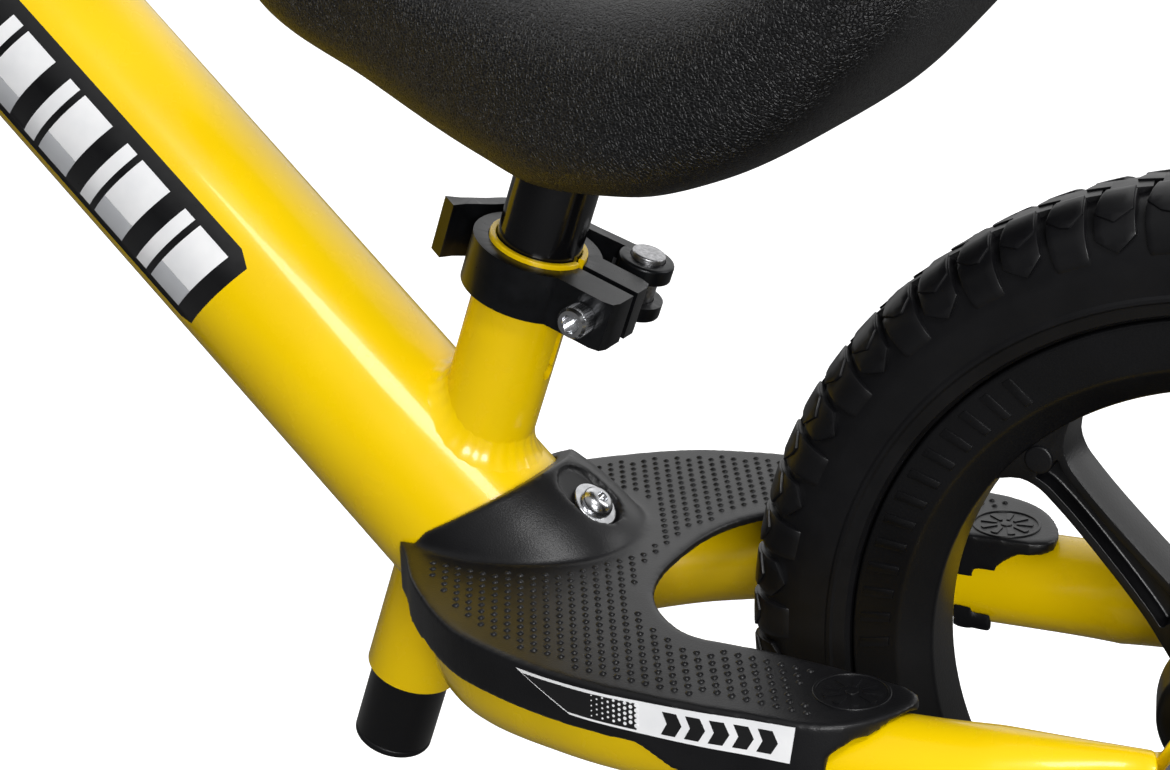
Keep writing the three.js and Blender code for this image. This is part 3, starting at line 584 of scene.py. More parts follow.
def onTread(u, v, h):
    # u round the tyre, v across it from the edge of the tread (past the middle runs down the far side), h outwards
    far = v > treadMid
    w = 2 * treadMid - v if far else v
    r, y = smoothly(treadR, w), smoothly(treadY, w)
    ra, ya = smoothly(treadR, w - 0.4), smoothly(treadY, w - 0.4)
    rb, yb = smoothly(treadR, w + 0.4), smoothly(treadY, w + 0.4)
    length = math.hypot(rb - ra, yb - ya) or 1.0
    r += h * (ya - yb) / length
    y += h * (rb - ra) / length
    a = u / 140
    return (r * math.cos(a), -y if far else y, -r * math.sin(a))


def treadSector():
    edge, deep = tyreLook["blockEdge"], -4.2
    half = blockPitch / 2
    square = [(-5.4, 0.3), (5.0, 0.3), (5.6, 15), (4.2, 27), (-4.4, 27), (-5.6, 15)]
    arrow = [(-5.9, 7.4), (0, 2.6), (5.9, 7.4), (5.6, 16), (4.2, 27), (-4.4, 27), (-5.6, 16)]
    squareCap = [(-5.2, 16.4), (-1.4, 12.8), (1.2, 13.6), (5.2, 17), (4.0, 26.4), (-4.0, 26.4)]
    arrowCap = [(-5.3, 15.2), (0, 11.6), (5.3, 15.2), (4.0, 26.4), (-4.0, 26.4)]
    strip = [(-6.2, 25.6), (4.8, 24.6), (6.2, treadMid + 1.5), (-4.2, treadMid + 2.5)]
    parts = []
    for shift, body, cap in ((0, square, squareCap), (half, arrow, arrowCap)):
        slide = lambda u, v, h, s=shift: onTread(u + s, v, h)
        parts.append(wrapped(body, deep, -0.75, slide, 3.0, edge))
        parts.append(wrapped(cap, deep, -0.1, slide, 3.0, 0.35))
        wedge = lambda u, v, h, s=shift: onTread(u + s - 2.2, v, h if h < -1 else -1.05 + 1.0 * (u + 6) / 12)
        parts.append(wrapped(strip, deep, 0.0, wedge, 3.0, 0.3))
    one = joined(*parts)
    other = turned(twin(one), Matrix.Rotation(blockPitch / 4 / 140, 4, "Y") @ Matrix.Scale(-1, 4, (0, 1, 0)))
    return joined(one, other)


def tyreMesh():
    half = tyreLook["sidewall"]
    around = [(r, -y) for r, y in half[1:]] + [(r, y) for r, y in reversed(half[1:-1])]
    carcass = acrossY(lathe(around, 192, closed=True))
    bpy.context.view_layer.update()
    steps = tyreLook["blocks"]
    tread = repeated(treadSector(), [(0, 0, 0)] * steps, (0, 2 * math.pi / steps, 0), slot="tyre_foam")
    return joined(carcass, tread)


rimLook = {
    "spokes": 3, "bead": 113.9, "bandOuter": 113.2, "bandInner": 99.0, "inner": 90.6, "face": 16.8, "hubR": 22.0,
    "markBars": 13, "markPitch": 4.4, "markLead": 7, "markHeight": 0.55,
}


def spokeOutline():
    half = [(17, 9.5), (24, 8.2), (34, 6.6), (50, 5.6), (66, 5.2), (78, 5.6), (84, 7.4), (88, 11.5), (91, 18), (93, 24)]
    dense = [(r, smoothly(half, r)) for r in [17 + i * 76 / 40 for i in range(41)]]
    return dense, [(r, -w) for r, w in reversed(dense)]


def rimMesh(firstSpoke):
    look = rimLook
    f, b, i, n = look["face"], look["bandInner"], look["inner"], look["bandOuter"]
    section = [(look["bead"], -11), (n, -11), (n, -f), (b, -f + 0.3), (i, -9),
               (i, 9), (b, f - 0.3), (n, f), (n, 11), (look["bead"], 11)]
    ringSection = rounded(section, 1.3, 4)
    made = [acrossY(lathe(ringSection, 160, closed=True))]
    hub = [(6.2, -30), (16.4, -30), (18.5, -28), (look["hubR"], -15),
           (look["hubR"], 15), (18.5, 28), (16.4, 30), (6.2, 30)]
    made.append(acrossY(lathe(rounded(hub, 2.0), 96, closed=True)))
    upper, lower = spokeOutline()
    outline = upper + lower
    inset = [(r, w * 1.0 - math.copysign(2.6, w)) for r, w in outline if 27 < r < 84]
    for k in range(look["spokes"]):
        angle = firstSpoke + k * 360 / look["spokes"]
        beam = prism(outline, -8.6, 8.6)
        for low, high in ((2.0, 12), (-12, -2.0)):
            carve(beam, bevelled(prism(inset, low, high), 1.0, 3, 60))
        bevelled(beam, 0.7, 3, 40)
        beam = joined(beam, moved(rod(4.2, -9.4, 9.4, 0.8, 32), 86.5))
        made.append(turned(acrossY(beam), Matrix.Rotation(-math.radians(angle), 4, "Y")))
    bar = [(-2.1, -4.6), (0.9, -4.6), (2.9, 4.6), (-0.1, 4.6)]
    bandMiddle = (b + n) / 2

    def onBand(side):
        def place(u, v, h):
            r, a = bandMiddle + v, u / 106
            return (r * math.cos(a), side * (f - 0.2 + h), -r * math.sin(a))
        return place

    for side in (1, -1):
        mark = wrapped(bar, -1.0, look["markHeight"], onBand(side), 3.0, 0.25, across=False)
        turns = [(0, 0, 0)] * look["markBars"]
        marks = repeated(mark, turns, (0, math.radians(look["markPitch"]), 0), slot="rim_nylon")
        for k in range(look["spokes"]):
            start = firstSpoke + look["markLead"] + k * 360 / look["spokes"]
            made.append(turned(twin(marks), Matrix.Rotation(-math.radians(start), 4, "Y")))
        discard(marks)
    return joined(*made)


def hexNut(acrossFlats, z0, z1, hole):
    corners = [(acrossFlats / math.sqrt(3) * math.cos(a), acrossFlats / math.sqrt(3) * math.sin(a))
               for a in [math.pi / 3 * k for k in range(6)]]
    nut = prism(corners, z0, z1)
    cone = lathe([(0, z0 - 3), (acrossFlats * 0.52, z0 - 0.1), (acrossFlats * 0.56, z0 + 0.9),
                  (acrossFlats * 0.56, z1 - 0.9), (acrossFlats * 0.52, z1 + 0.1), (0, z1 + 3)], 64)
    modify(nut, "BOOLEAN", object=cone, operation="INTERSECT", solver="EXACT")
    discard(cone)
    return carve(nut, rod(hole, z0 - 5, z1 + 5, 0.01))


def wheel(prefix, at, body, holder, firstSpoke, dropoutY, tyreSource=None):
    tyre = twin(tyreSource) if tyreSource else tyreMesh()
    spare = twin(tyre) if not tyreSource else None
    piece(tyre, prefix + "Tyre", body, "tyre_foam", at, [prefix + "_tyre"], 30)
    piece(rimMesh(firstSpoke), prefix + "Rim", body, "rim_nylon", at, [prefix + "_rim"], 32)
    half = dropoutY + 17
    rodEnds = [(0, -half), (4.1, -half), (5, -half + 0.9), (5, half - 0.9), (4.1, half), (0, half)]
    threaded = lathe(rounded(rodEnds, 0.2), 48)
    piece(acrossY(threaded), prefix + "Axle", holder, "zinc_steel", at, [prefix + "_axle"])
    for side, hand in ((1, "left"), (-1, "right")):
        flip = Matrix.Scale(side, 4, (0, 1, 0))
        name = hand.capitalize()
        nut = acrossY(hexNut(15, dropoutY + 7.2, dropoutY + 15.2, 5.2))
        piece(turned(nut, flip), prefix + "AxleNut" + name, holder, "zinc_steel", at, [prefix + "_axle_nut_" + hand], 25)
        spacer = acrossY(pipe(8, 5.3, 30.3, dropoutY - 0.3, 0.4, 64))
        piece(turned(spacer, flip), prefix + "Spacer" + name, holder, "bare_steel", at, [prefix + "_spacer_" + hand])
        races = (pipe(12.9, 10.6, 22, 29.6, 0.3, 80), pipe(8, 5.3, 22, 29.6, 0.3, 64))
        bearing = acrossY(joined(*races, pipe(10.8, 7.8, 22.6, 29, 0.2, 80)))
        piece(turned(bearing, flip), prefix + "Bearing" + name, body, "bare_steel", at, [prefix + "_bearing_" + hand])
    return spare


spareTyre = wheel("rear", rearFrame, "rear_wheel", "frame", 45, 49)
wheel("front", frontFrame, "front_wheel", "fork", 45, 45, spareTyre)
discard(spareTyre)
print("wheels ready")


# ---------- frame tubes ----------

frameLook = {"seatR": 15.9, "seatBore": 13.9, "seatTop": 108.5, "seatFoot": -60.5, "slotFoot": 68.0, "headR": 21.0,
             "headLow": 196.0, "headHigh": 306.0, "stayR": 15.6, "weldLeg": 7.0, "weldRipples": 26}


def inLocal(obj, source, target):
    return turned(obj, target.inverted() @ source)


def narrowing(along):
    t = min(1.0, max(0.0, (along - mainTube["taperFrom"]) / mainTube["taperLength"]))
    return 1 - mainTube["taper"] * t * t * (3 - 2 * t)


def tapered(obj):
    # the big tube is pressed narrower across where it meets the head tube
    for vert in obj.data.vertices:
        vert.co.y *= narrowing(vert.co.z)
    return obj


def mainTubeMesh():
    look = mainTube
    r = look["radius"]
    stations = [look["end"] + (look["top"] - look["end"]) * k / 48 for k in range(49)]
    profile = [(r, z) for z in stations] + [(r - look["wall"], z) for z in reversed(stations)]
    tube = tapered(lathe(profile, 128, closed=True))
    headCut = inLocal(rod(frameLook["headR"] - 0.6, 120, 380, 0.01, 96), steerFrame, mainFrame)
    ahead = inLocal(brick(2, 122, -60, 60, 100, 400), steerFrame, mainFrame)
    seatCut = inLocal(rod(frameLook["seatR"] - 0.4, -80, 140, 0.01, 96), seatFrame, mainFrame)
    return carve(tube, headCut, ahead, seatCut)


def weldBead(tubeFrame, tubeR, upwards, legs, target, steps=144):
    # a concave bead round a tube where it stands on the big tube, drawn in the big tube's frame
    toMain = mainFrame.inverted() @ tubeFrame
    axis = (toMain.to_3x3() @ Vector((0, 0, upwards))).normalized()
    section, verts, faces = 9, [], []

    def outside(point):
        return math.hypot(point.x, point.y / narrowing(point.z)) - mainTube["radius"]

    for i in range(steps):
        a = 2 * math.pi * i / steps
        start = toMain @ Vector((tubeR * math.cos(a), tubeR * math.sin(a), target))
        point = start.copy()
        for _ in range(60):
            gap = outside(point)
            point = point - axis * gap * 0.5
        radial = (toMain.to_3x3() @ Vector((math.cos(a), math.sin(a), 0))).normalized()
        normal = Vector((point.x, point.y / narrowing(point.z) ** 2, 0)).normalized()
        away = (radial - normal * radial.dot(normal)).normalized()
        ripple = 1 + 0.05 * math.sin(a * frameLook["weldRipples"])
        leg = legs * ripple
        top, low = point + axis * leg, point + away * leg
        low -= normal * (outside(low) + 0.25)
        top -= radial * 0.25
        corner = point + (axis + away) * 0.6
        for k in range(section):
            t = k / (section - 1)
            verts.append(tuple(top * (1 - t) ** 2 + corner * 2 * t * (1 - t) + low * t * t))
        verts.append(tuple(point - axis * 1.5 - away * 1.5))
    ring = section + 1
    for i in range(steps):
        n = (i + 1) % steps
        for k in range(ring):
            m = (k + 1) % ring
            faces.append((i * ring + k, n * ring + k, n * ring + m, i * ring + m))
    return asObject(meshOf(verts, faces))


def seatTubeMesh():
    look = frameLook
    tube = pipe(look["seatR"], look["seatBore"], look["seatFoot"], look["seatTop"], 0.6, 128)
    slot = brick(-22, -5, -1.6, 1.6, look["slotFoot"], look["seatTop"] + 4)
    hole = moved(turned(rod(2.6, 0, 20, 0.01, 40), Matrix.Rotation(-math.pi / 2, 4, "Y")), 0, 0, look["slotFoot"])
    return carve(tube, slot, hole)


# mm, from a point 15.3 mm ahead of the foot of the seat tube's axis, level with the axles
stayPath = [(-36, 21, -26), (-44, 31, -27), (-62, 46, -24.5), (-88, 58, -20.5), (-125, 66.5, -16.5), (-200, 67.5, -12),
            (-235, 64, -10), (-267, 57.5, -10)]


def stayMesh(side):
    path = smoothPath([(x, side * y, z) for x, y, z in stayPath], 9)
    tube = sweep(path, lambda t: frameLook["stayR"], 48)
    for vert in tube.data.vertices:
        t = min(1.0, max(0.0, (-225 - vert.co.x) / 37))
        middle = side * (65.5 - 9 * t)
        vert.co.y = middle + (vert.co.y - middle) * (1 - 0.5 * t)
        vert.co.z *= 1 - 0.2 * t
    bevelled(tube, 2.0, 3, 60)
    hubLevel = Matrix.Translation(seatOrigin) @ Matrix.Translation((0.0153, 0, 0)) @ Matrix.Scale(mm, 4)
    inside = inLocal(rod(30.2, -90, 60, 0.01, 96), mainFrame, hubLevel)
    seatRoom = inLocal(rod(15.0, -90, 140, 0.01, 96), seatFrame, hubLevel)
    return carve(tube, inside, seatRoom), hubLevel


def dropoutMesh():
    plate = prism([(-14, -9), (-11, -11), (7, -9), (11, -1), (28, 3), (28, 13), (-11, 11), (-14, 9)], -54, -49)
    carve(plate, rod(5.3, -80, 80, 0.01, 48))
    return acrossY(bevelled(plate, 0.7, 3, 40))


piece(mainTubeMesh(), "mainTube", "frame", "yellow_paint", mainFrame, ["main_tube"])
piece(seatTubeMesh(), "seatTube", "frame", "yellow_paint", seatFrame, ["seat_tube"])
headLow, headHigh = frameLook["headLow"], frameLook["headHigh"]
head = joined(pipe(21, 19.6, headLow, headHigh, 0.5, 128), pipe(22.2, 20.6, headLow, headLow + 6, 0.9, 128),
              pipe(22.2, 20.6, headHigh - 6, headHigh, 0.9, 128))
piece(head, "headTube", "frame", "yellow_paint", steerFrame, ["head_tube"])
piece(weldBead(seatFrame, 15.9, 1, frameLook["weldLeg"], 60), "seatTubeWeld", "frame", "yellow_paint", mainFrame)
for hand, side in (("Left", 1), ("Right", -1)):
    stayTube, stayAt = stayMesh(side)
    piece(stayTube, "stay" + hand, "frame", "yellow_paint", stayAt, ["stay_" + hand.lower()])
    plate = turned(dropoutMesh(), Matrix.Scale(-side, 4, (0, 1, 0)))
    piece(plate, "rearDropout" + hand, "frame", "yellow_paint", rearFrame, ["rear_dropout_" + hand.lower()])
print("frame ready")


# ---------- quick-release clamps ----------

clampLook = {"wall": 5.0, "height": 16.5, "earBack": -36.0, "earLeft": 14.0, "earRight": -11.5, "camR": 9.2, "leverHalf": 9.5,
             "knurls": 36}
pinX, pinY = camBarrel["x"], camBarrel["y"]


def offsetLine(points, half):
    path = smoothPath([(x, y, 0) for x, y in points], 8)
    left, right = [], []
    for i, p in enumerate(path):
        along = (path[min(i + 1, len(path) - 1)] - path[max(0, i - 1)]).normalized()
        t = i / (len(path) - 1)
        w = half(t)
        left.append((p.x + along.y * w, p.y - along.x * w))
        right.append((p.x - along.y * w, p.y + along.x * w))
    return left + right[::-1]


def leverMesh():
    reach, half = 26.0, clampLook["leverHalf"]
    spine = [(pinX, pinY - 2.5), (-16, -26.4)]
    spine += [(reach * math.cos(math.radians(a)), reach * math.sin(math.radians(a))) for a in range(-100, -19, 16)]
    spine += [(28, -3.2), (32, 3.5)]
    arm = prism(offsetLine(spine, lambda t: 2.1 + 0.9 * max(0, (t - 0.93) / 0.07)), -half, half)
    head = moved(rod(clampLook["camR"], -half, half, 1.2, 64), pinX, pinY + 0.5)
    slot = moved(rod(11.2, -4.2, 4.2, 0.01, 48), pinX, pinY)
    gap = brick(pinX - 12, pinX + 9, pinY, pinY + 14, -4.2, 4.2)
    bore = moved(rod(5.9, -20, 20, 0.01, 48), pinX, pinY)
    modify(arm, "BOOLEAN", object=head, operation="UNION", solver="EXACT")
    discard(head)
    carve(arm, slot, gap, bore, rod(22.3, -20, 20, 0.01, 96))
    return bevelled(arm, 0.7, 3, 40)


def clampPieces(prefix, at, tubeR, height, holder, lever):
    look = clampLook
    half = look["height"] / 2
    move = at @ Matrix.Translation((0, 0, height))
    band = rod(tubeR + look["wall"], -half, half, 0.01, 128)
    ears = prism([(-tubeR + 1, look["earRight"]), (-tubeR + 1, look["earLeft"]), (look["earBack"] + 4, look["earLeft"]),
                  (look["earBack"] + 1, look["earLeft"] - 1), (look["earBack"], look["earLeft"] - 4),
                  (look["earBack"], look["earRight"] + 4), (look["earBack"] + 1, look["earRight"] + 1),
                  (look["earBack"] + 4, look["earRight"])], -half, half)
    modify(band, "BOOLEAN", object=ears, operation="UNION", solver="EXACT")
    discard(ears)
    hole = moved(acrossY(rod(3.2, -40, 40, 0.01, 40)), pinX)
    carve(band, rod(tubeR + 0.2, -20, 20, 0.01, 128), brick(-45, 0, -1.5, 1.5, -20, 20), hole)
    bevelled(band, 0.75, 3, 40)
    piece(band, prefix + "ClampCollar", holder, "black_anodised", move, [prefix + "_clamp_collar"], 30)

    face = look["earLeft"] + 0.3
    head = lathe([(0, face), (4.9, face), (4.9, face + 5.9), (4.2, face + 7), (3.0, face + 7),
                  (2.7, face + 6.6), (2.7, face + 3.5), (0, face + 3.5)], 72)
    knurl = prism([(4.7, -0.22), (5.15, 0), (4.7, 0.22)], face + 0.5, face + 5.8)
    knurls = repeated(knurl, [(0, 0, 0)] * look["knurls"], (0, 0, 2 * math.pi / look["knurls"]), slot="zinc_steel")
    shank = rod(2.9, pinY - 3, look["earLeft"] + 1, 0.3, 40)
    bolt = moved(acrossY(joined(head, knurls, shank)), pinX)
    piece(bolt, prefix + "ClampBolt", holder, "zinc_steel", move, [prefix + "_clamp_bolt"], 30)

    washer = moved(acrossY(rod(7, look["earRight"] - 3, look["earRight"] - 0.3, 0.6, 64)), pinX)
    carve(washer, moved(rod(9.6, -20, 20, 0.01, 64), pinX, pinY + 0.5))
    piece(washer, prefix + "ClampWasher", holder, "black_anodised", move, [prefix + "_clamp_washer"], 30)
    barrel = moved(rod(5.6, -11, 11.3, 0.7, 64), pinX, pinY)
    piece(barrel, prefix + "ClampBarrel", holder, "bare_steel", move, [prefix + "_clamp_barrel"], 30)
    piece(leverMesh(), prefix + "ClampLever", lever, "black_anodised", move, [prefix + "_clamp_lever"], 30)


clampPieces("seat", seatFrame, 15.9, camBarrel["seatHeight"], "frame", "seat_lever")
clampPieces("bar", steerFrame, 14.3, camBarrel["barHeight"], "fork", "bar_lever")
print("clamps ready")


# ---------- saddle ----------

saddleLook = {
    "rear": 82, "front": 326, "squareness": 0.48, "squareAbove": 0.72, "endShare": 0.22, "lengthSteps": 120, "aroundSteps": 128,
    "low": [(82, 205), (89, 188), (100, 174), (120, 154), (146, 139), (172, 131), (201, 129), (225, 135),
            (270, 152), (313, 171), (326, 190)],
    "high": [(82, 212), (96, 221), (122, 212), (155, 198), (190, 192), (230, 195), (270, 204), (300, 210),
             (318, 208), (326, 198)],
    "wide": [(82, 34), (89, 54), (103, 62), (128, 64), (162, 60), (200, 52), (240, 41), (275, 32), (305, 26),
             (320, 19), (326, 10)],
}


def saddleMesh():
    look, verts, faces = saddleLook, [], []
    lengthSteps, around = look["lengthSteps"], look["aroundSteps"]
    middle, reach = (look["rear"] + look["front"]) / 2, (look["front"] - look["rear"]) / 2
    for i in range(1, lengthSteps):
        turn = math.pi * i / lengthSteps
        x = middle - reach * math.cos(turn)
        end = min(1.0, math.sin(turn) / look["endShare"])
        end = math.sqrt(max(0.0, 1 - (1 - end) ** 2))
        low, high, wide = (smoothly(look[key], x) for key in ("low", "high", "wide"))
        for k in range(around):
            a = 2 * math.pi * k / around
            c, s = math.cos(a), math.sin(a)
            power = look["squareness"] if s < 0 else look["squareAbove"]
            across = math.copysign(abs(c) ** power, c)
            up = math.copysign(abs(s) ** power, s)
            verts.append((x, across * wide * end, (low + high) / 2 + up * (high - low) / 2 * end))
    for i in range(lengthSteps - 2):
        for k in range(around):
            n = (k + 1) % around
            faces.append((i * around + k, i * around + n, (i + 1) * around + n, (i + 1) * around + k))
    faces.append(tuple(range(around)))
    faces.append(tuple(range((lengthSteps - 2) * around, (lengthSteps - 1) * around)))
    return asObject(meshOf(verts, faces))


saddlePad = saddleMesh()
modify(saddlePad, "SMOOTH", factor=0.5, iterations=3)
socketRoom = inLocal(bevelled(brick(-20.6, 20.6, -16.6, 16.6, 60, 159), 3, 3), seatFrame, rearFrame)
carve(saddlePad, socketRoom)
piece(saddlePad, "saddlePad", "saddle", "saddle_skin", rearFrame, ["saddle_pad"], 50)
socket = bevelled(brick(-20, 20, -16, 16, 141, 158), 2.5, 3)
carve(socket, rod(13.7, 100, 150.3, 0.01, 64))
piece(socket, "saddleSocket", "saddle", "black_nylon", seatFrame, ["saddle_socket"])
piece(pipe(13.6, 11.6, -88, 150, 0.4, 128), "seatPost", "saddle", "black_paint", seatFrame, ["seat_post"])
plugLine = [(0, -93), (10.6, -93), (13.6, -90.6), (13.6, -88.3), (11.2, -88.3), (11.2, -78), (0, -78)]
plugEnd = lathe(rounded(plugLine, 0.8), 96)
piece(plugEnd, "seatPostPlug", "saddle", "black_nylon", seatFrame, ["seat_post_plug"])
print("saddle ready")


# ---------- fork and headset ----------

forkLook = {"legR": 10.5, "crownR": 19.0, "offset": 15.0,
            "leg": [(0, 13, 179), (0, 24, 176), (0, 38, 166), (1, 44.5, 144), (4, 47.5, 90), (9, 49.5, 40), (13, 50, 14)]}
steerTube = pipe(14.3, 11.4, 188.3, 348, 0.5, 128)
carve(steerTube, brick(-20, 0, -1.5, 1.5, 320, 353))
piece(steerTube, "forkSteerer", "fork", "black_paint", steerFrame, ["fork_steerer"])
piece(pipe(forkLook["crownR"], 11.5, 176, 188, 1.6, 128), "forkCrown", "fork", "black_paint", steerFrame, ["fork_crown"])
for hand, side in (("Left", 1), ("Right", -1)):
    legPath = smoothPath([(x, side * y, z) for x, y, z in forkLook["leg"]], 10)
    leg = bevelled(sweep(legPath, lambda t: forkLook["legR"] * (1 - 0.12 * t), 48), 2.5, 4, 60)
    piece(leg, "forkLeg" + hand, "fork", "black_paint", steerFrame, ["fork_leg_" + hand.lower()])
    plate = prism([(2, -10), (6, -14), (22, -14), (26, -10), (24, 40), (21, 43), (3, 43), (0, 40)], -50, -45)
    carve(plate, moved(rod(5.3, -80, 80, 0.01, 48), forkLook["offset"]))
    bevelled(plate, 0.8, 3, 40)
    plate = turned(acrossY(turned(plate, Matrix.Scale(-1, 4, (0, 1, 0)))), Matrix.Scale(-side, 4, (0, 1, 0)))
    piece(plate, "forkDropout" + hand, "fork", "black_paint", steerFrame, ["fork_dropout_" + hand.lower()])
headset = (
    ("CrownRace", "crown_race", "fork", "bare_steel", 18.5, 14.6, 188.3, 191.4),
    ("LowerCup", "lower_cup", "frame", "black_anodised", 21.0, 15.3, 191.7, 195.7),
    ("LowerBearing", "lower_bearing", "frame", "bare_steel", 19.3, 14.6, 197, 204),
    ("UpperBearing", "upper_bearing", "frame", "bare_steel", 19.3, 14.6, 298, 305),
    ("UpperCup", "upper_cup", "frame", "black_anodised", 22.0, 15.3, 306.3, 312),
    ("Locknut", "locknut", "fork", "black_anodised", 19.5, 14.6, 312.3, 319),
)
for title, node, body, slotName, outer, inner, z0, z1 in headset:
    piece(pipe(outer, inner, z0, z1, 0.8, 128), "headset" + title, body, slotName, steerFrame, ["headset_" + node])
print("fork ready")


# ---------- handlebar ----------

barLook = {"barR": 9.5, "padR": 14.2, "padHalf": 41.0, "crossZ": 420.0, "crossR": 5.5, "ribs": 22,
           "half": [(-14, 190, 438), (-6, 104, 435), (-3, 88, 430), (-1, 72, 416), (0, 52, 398), (0, 30, 388)]}
barPath = barLook["half"] + [(x, -y, z) for x, y, z in reversed(barLook["half"])]
barBend = bevelled(sweep(smoothPath(barPath, 12), lambda t: barLook["barR"], 56), 1.2, 3, 60)
piece(barBend, "barTube", "handlebar", "black_paint", steerFrame, ["bar_tube"])
piece(pipe(11.1, 9.1, 235, 384, 0.5, 96), "barPost", "handlebar", "black_paint", steerFrame, ["bar_post"])
cross = moved(acrossY(rod(barLook["crossR"], -77, 77, 0.3, 48)), -1.5, 0, barLook["crossZ"])
piece(cross, "crossbar", "handlebar", "black_paint", steerFrame, ["crossbar"])


def simulated(obj, voxel=4.0, pressure=4.0, cap=2.0):
    # the cover is blown up a little by its foam: a short cloth run in metres, with the movement capped
    turned(obj, Matrix.Scale(mm, 4))
    obj = modify(obj, "REMESH", mode="VOXEL", voxel_size=voxel * mm)
    before = [v.co.copy() for v in obj.data.vertices]
    cloth = obj.modifiers.new("cloth", "CLOTH")
    cloth.settings.use_pressure = True
    cloth.settings.uniform_pressure_force = pressure
    cloth.settings.effector_weights.gravity = 0
    cloth.point_cache.frame_start, cloth.point_cache.frame_end = 1, 20
    for step in range(1, 21):
        bikeScene.frame_set(step)
    applied(obj)
    bikeScene.frame_set(1)
    for vert, was in zip(obj.data.vertices, before):
        away = vert.co - was
        if away.length > cap * mm:
            vert.co = was + away.normalized() * cap * mm
    modify(obj, "SUBSURF", levels=1)
    return turned(obj, Matrix.Scale(1000, 4))


padHalf = barLook["padHalf"]
padMesh = simulated(acrossY(rod(barLook["padR"] - 1.5, -padHalf + 1, padHalf - 1, 4.0, 48)), 4.0, 4.0, 1.2)
carve(padMesh, acrossY(rod(barLook["crossR"] + 0.2, -60, 60, 0.01, 48)))
seam = brick(-0.7, 0.7, -padHalf + 3, padHalf - 3, -barLook["padR"] - 0.9, -barLook["padR"] + 1.6)
padPiece = moved(joined(padMesh, bevelled(seam, 0.3, 2)), -1.5, 0, barLook["crossZ"])
piece(padPiece, "barPad", "handlebar", "pad_cover", steerFrame, ["bar_pad"], 60)


def gripMesh(side):
    start, end = Vector((-6, side * 104, 435)), Vector((-14, side * 190, 438))
    sleeve = [(9.6, 6), (17, 6), (18, 7), (18, 9), (14, 11.5), (13.2, 13), (13.2, 76), (14, 78), (19, 83),
              (20, 86), (20, 91), (17, 94.6), (0, 95)]
    core = lathe(rounded([(0, 88)] + [(9.6, 88)] + sleeve, 1.2, 3), 96)
    rib = lathe(rounded([(12.6, -0.95), (14.0, -0.75), (14.0, 0.75), (12.6, 0.95)], 0.4, 3), 96, closed=True)
    ribs = repeated(rib, [(0, 0, 15.2 + 2.75 * k) for k in range(barLook["ribs"])], slot="grip_rubber")
    turn = (end - start).to_track_quat("Z", "X").to_matrix().to_4x4()
    return turned(joined(core, ribs), Matrix.Translation(start) @ turn)


for hand, side in (("Left", 1), ("Right", -1)):
    piece(gripMesh(side), "grip" + hand, "handlebar", "grip_rubber", steerFrame, ["grip_" + hand.lower()])
print("handlebar ready")


# ---------- footrest ----------

footLook = {
    "top": 6.6, "thick": 3.2, "wall": 3.0, "voxel": 1.0, "smoothing": 5, "bumpR": 1.2, "bumpRise": 0.85, "bumpStep": 4.5,
    "border": 6.5, "discX": 93.5, "discY": 64.5, "discR": 11.0,
    "outer": [(264, 31), (256, 40), (246, 53), (235, 64), (223, 74), (210, 82), (192, 88), (175, 91.5), (158, 93), (143, 92.5),
              (128, 91.5), (113, 89.5), (99, 88), (90, 84.5), (83, 78), (78, 70), (75.5, 62), (77, 57), (82, 54)],
    "inner": [(100, 52), (116, 51), (131, 51), (145, 52), (152, 50.5), (158, 47), (164, 42), (169, 36), (173, 29), (176, 20),
              (177.6, 10), (178, 0)],
    "skirt": [(70, 20), (70, 2.5), (86, 1.5), (92, -3), (94, -27), (126, -27), (133, -15.5), (146, -9), (232, -8.6),
              (256, -11), (290, -15), (290, 20)],
    "hood": [(0, -66), (30, -66), (37, -60), (40, -50), (39.5, -36), (38, -25), (35.6, -14), (33, -7), (0, -7)],
    "hoodLean": -19.0, "screwAlong": -37.0,
}  # mm from the rear axle


def deckLine(inset=0.0):
    outer = [(p.x, p.y) for p in smoothPath([(x, y, 0) for x, y in footLook["outer"]], 4)]
    inner = [(p.x, p.y) for p in smoothPath([(x, y, 0) for x, y in footLook["inner"]], 4)]
    half = outer + inner
    loop = half + [(x, -y) for x, y in reversed(half[:-1])]
    if not inset:
        return loop
    out = []
    for i, (x, y) in enumerate(loop):
        before, after = Vector(loop[i - 1]), Vector(loop[(i + 1) % len(loop)])
        normal = Vector((after.y - before.y, before.x - after.x)).normalized()
        out.append((x - normal.x * inset, y - normal.y * inset))
    return out


def pointsUp(obj, along):
    # a shape drawn about Z, laid square to the main tube on its upper side
    return moved(turned(obj, Matrix.Rotation(-math.pi / 2, 4, "Y")), 0, 0, along)


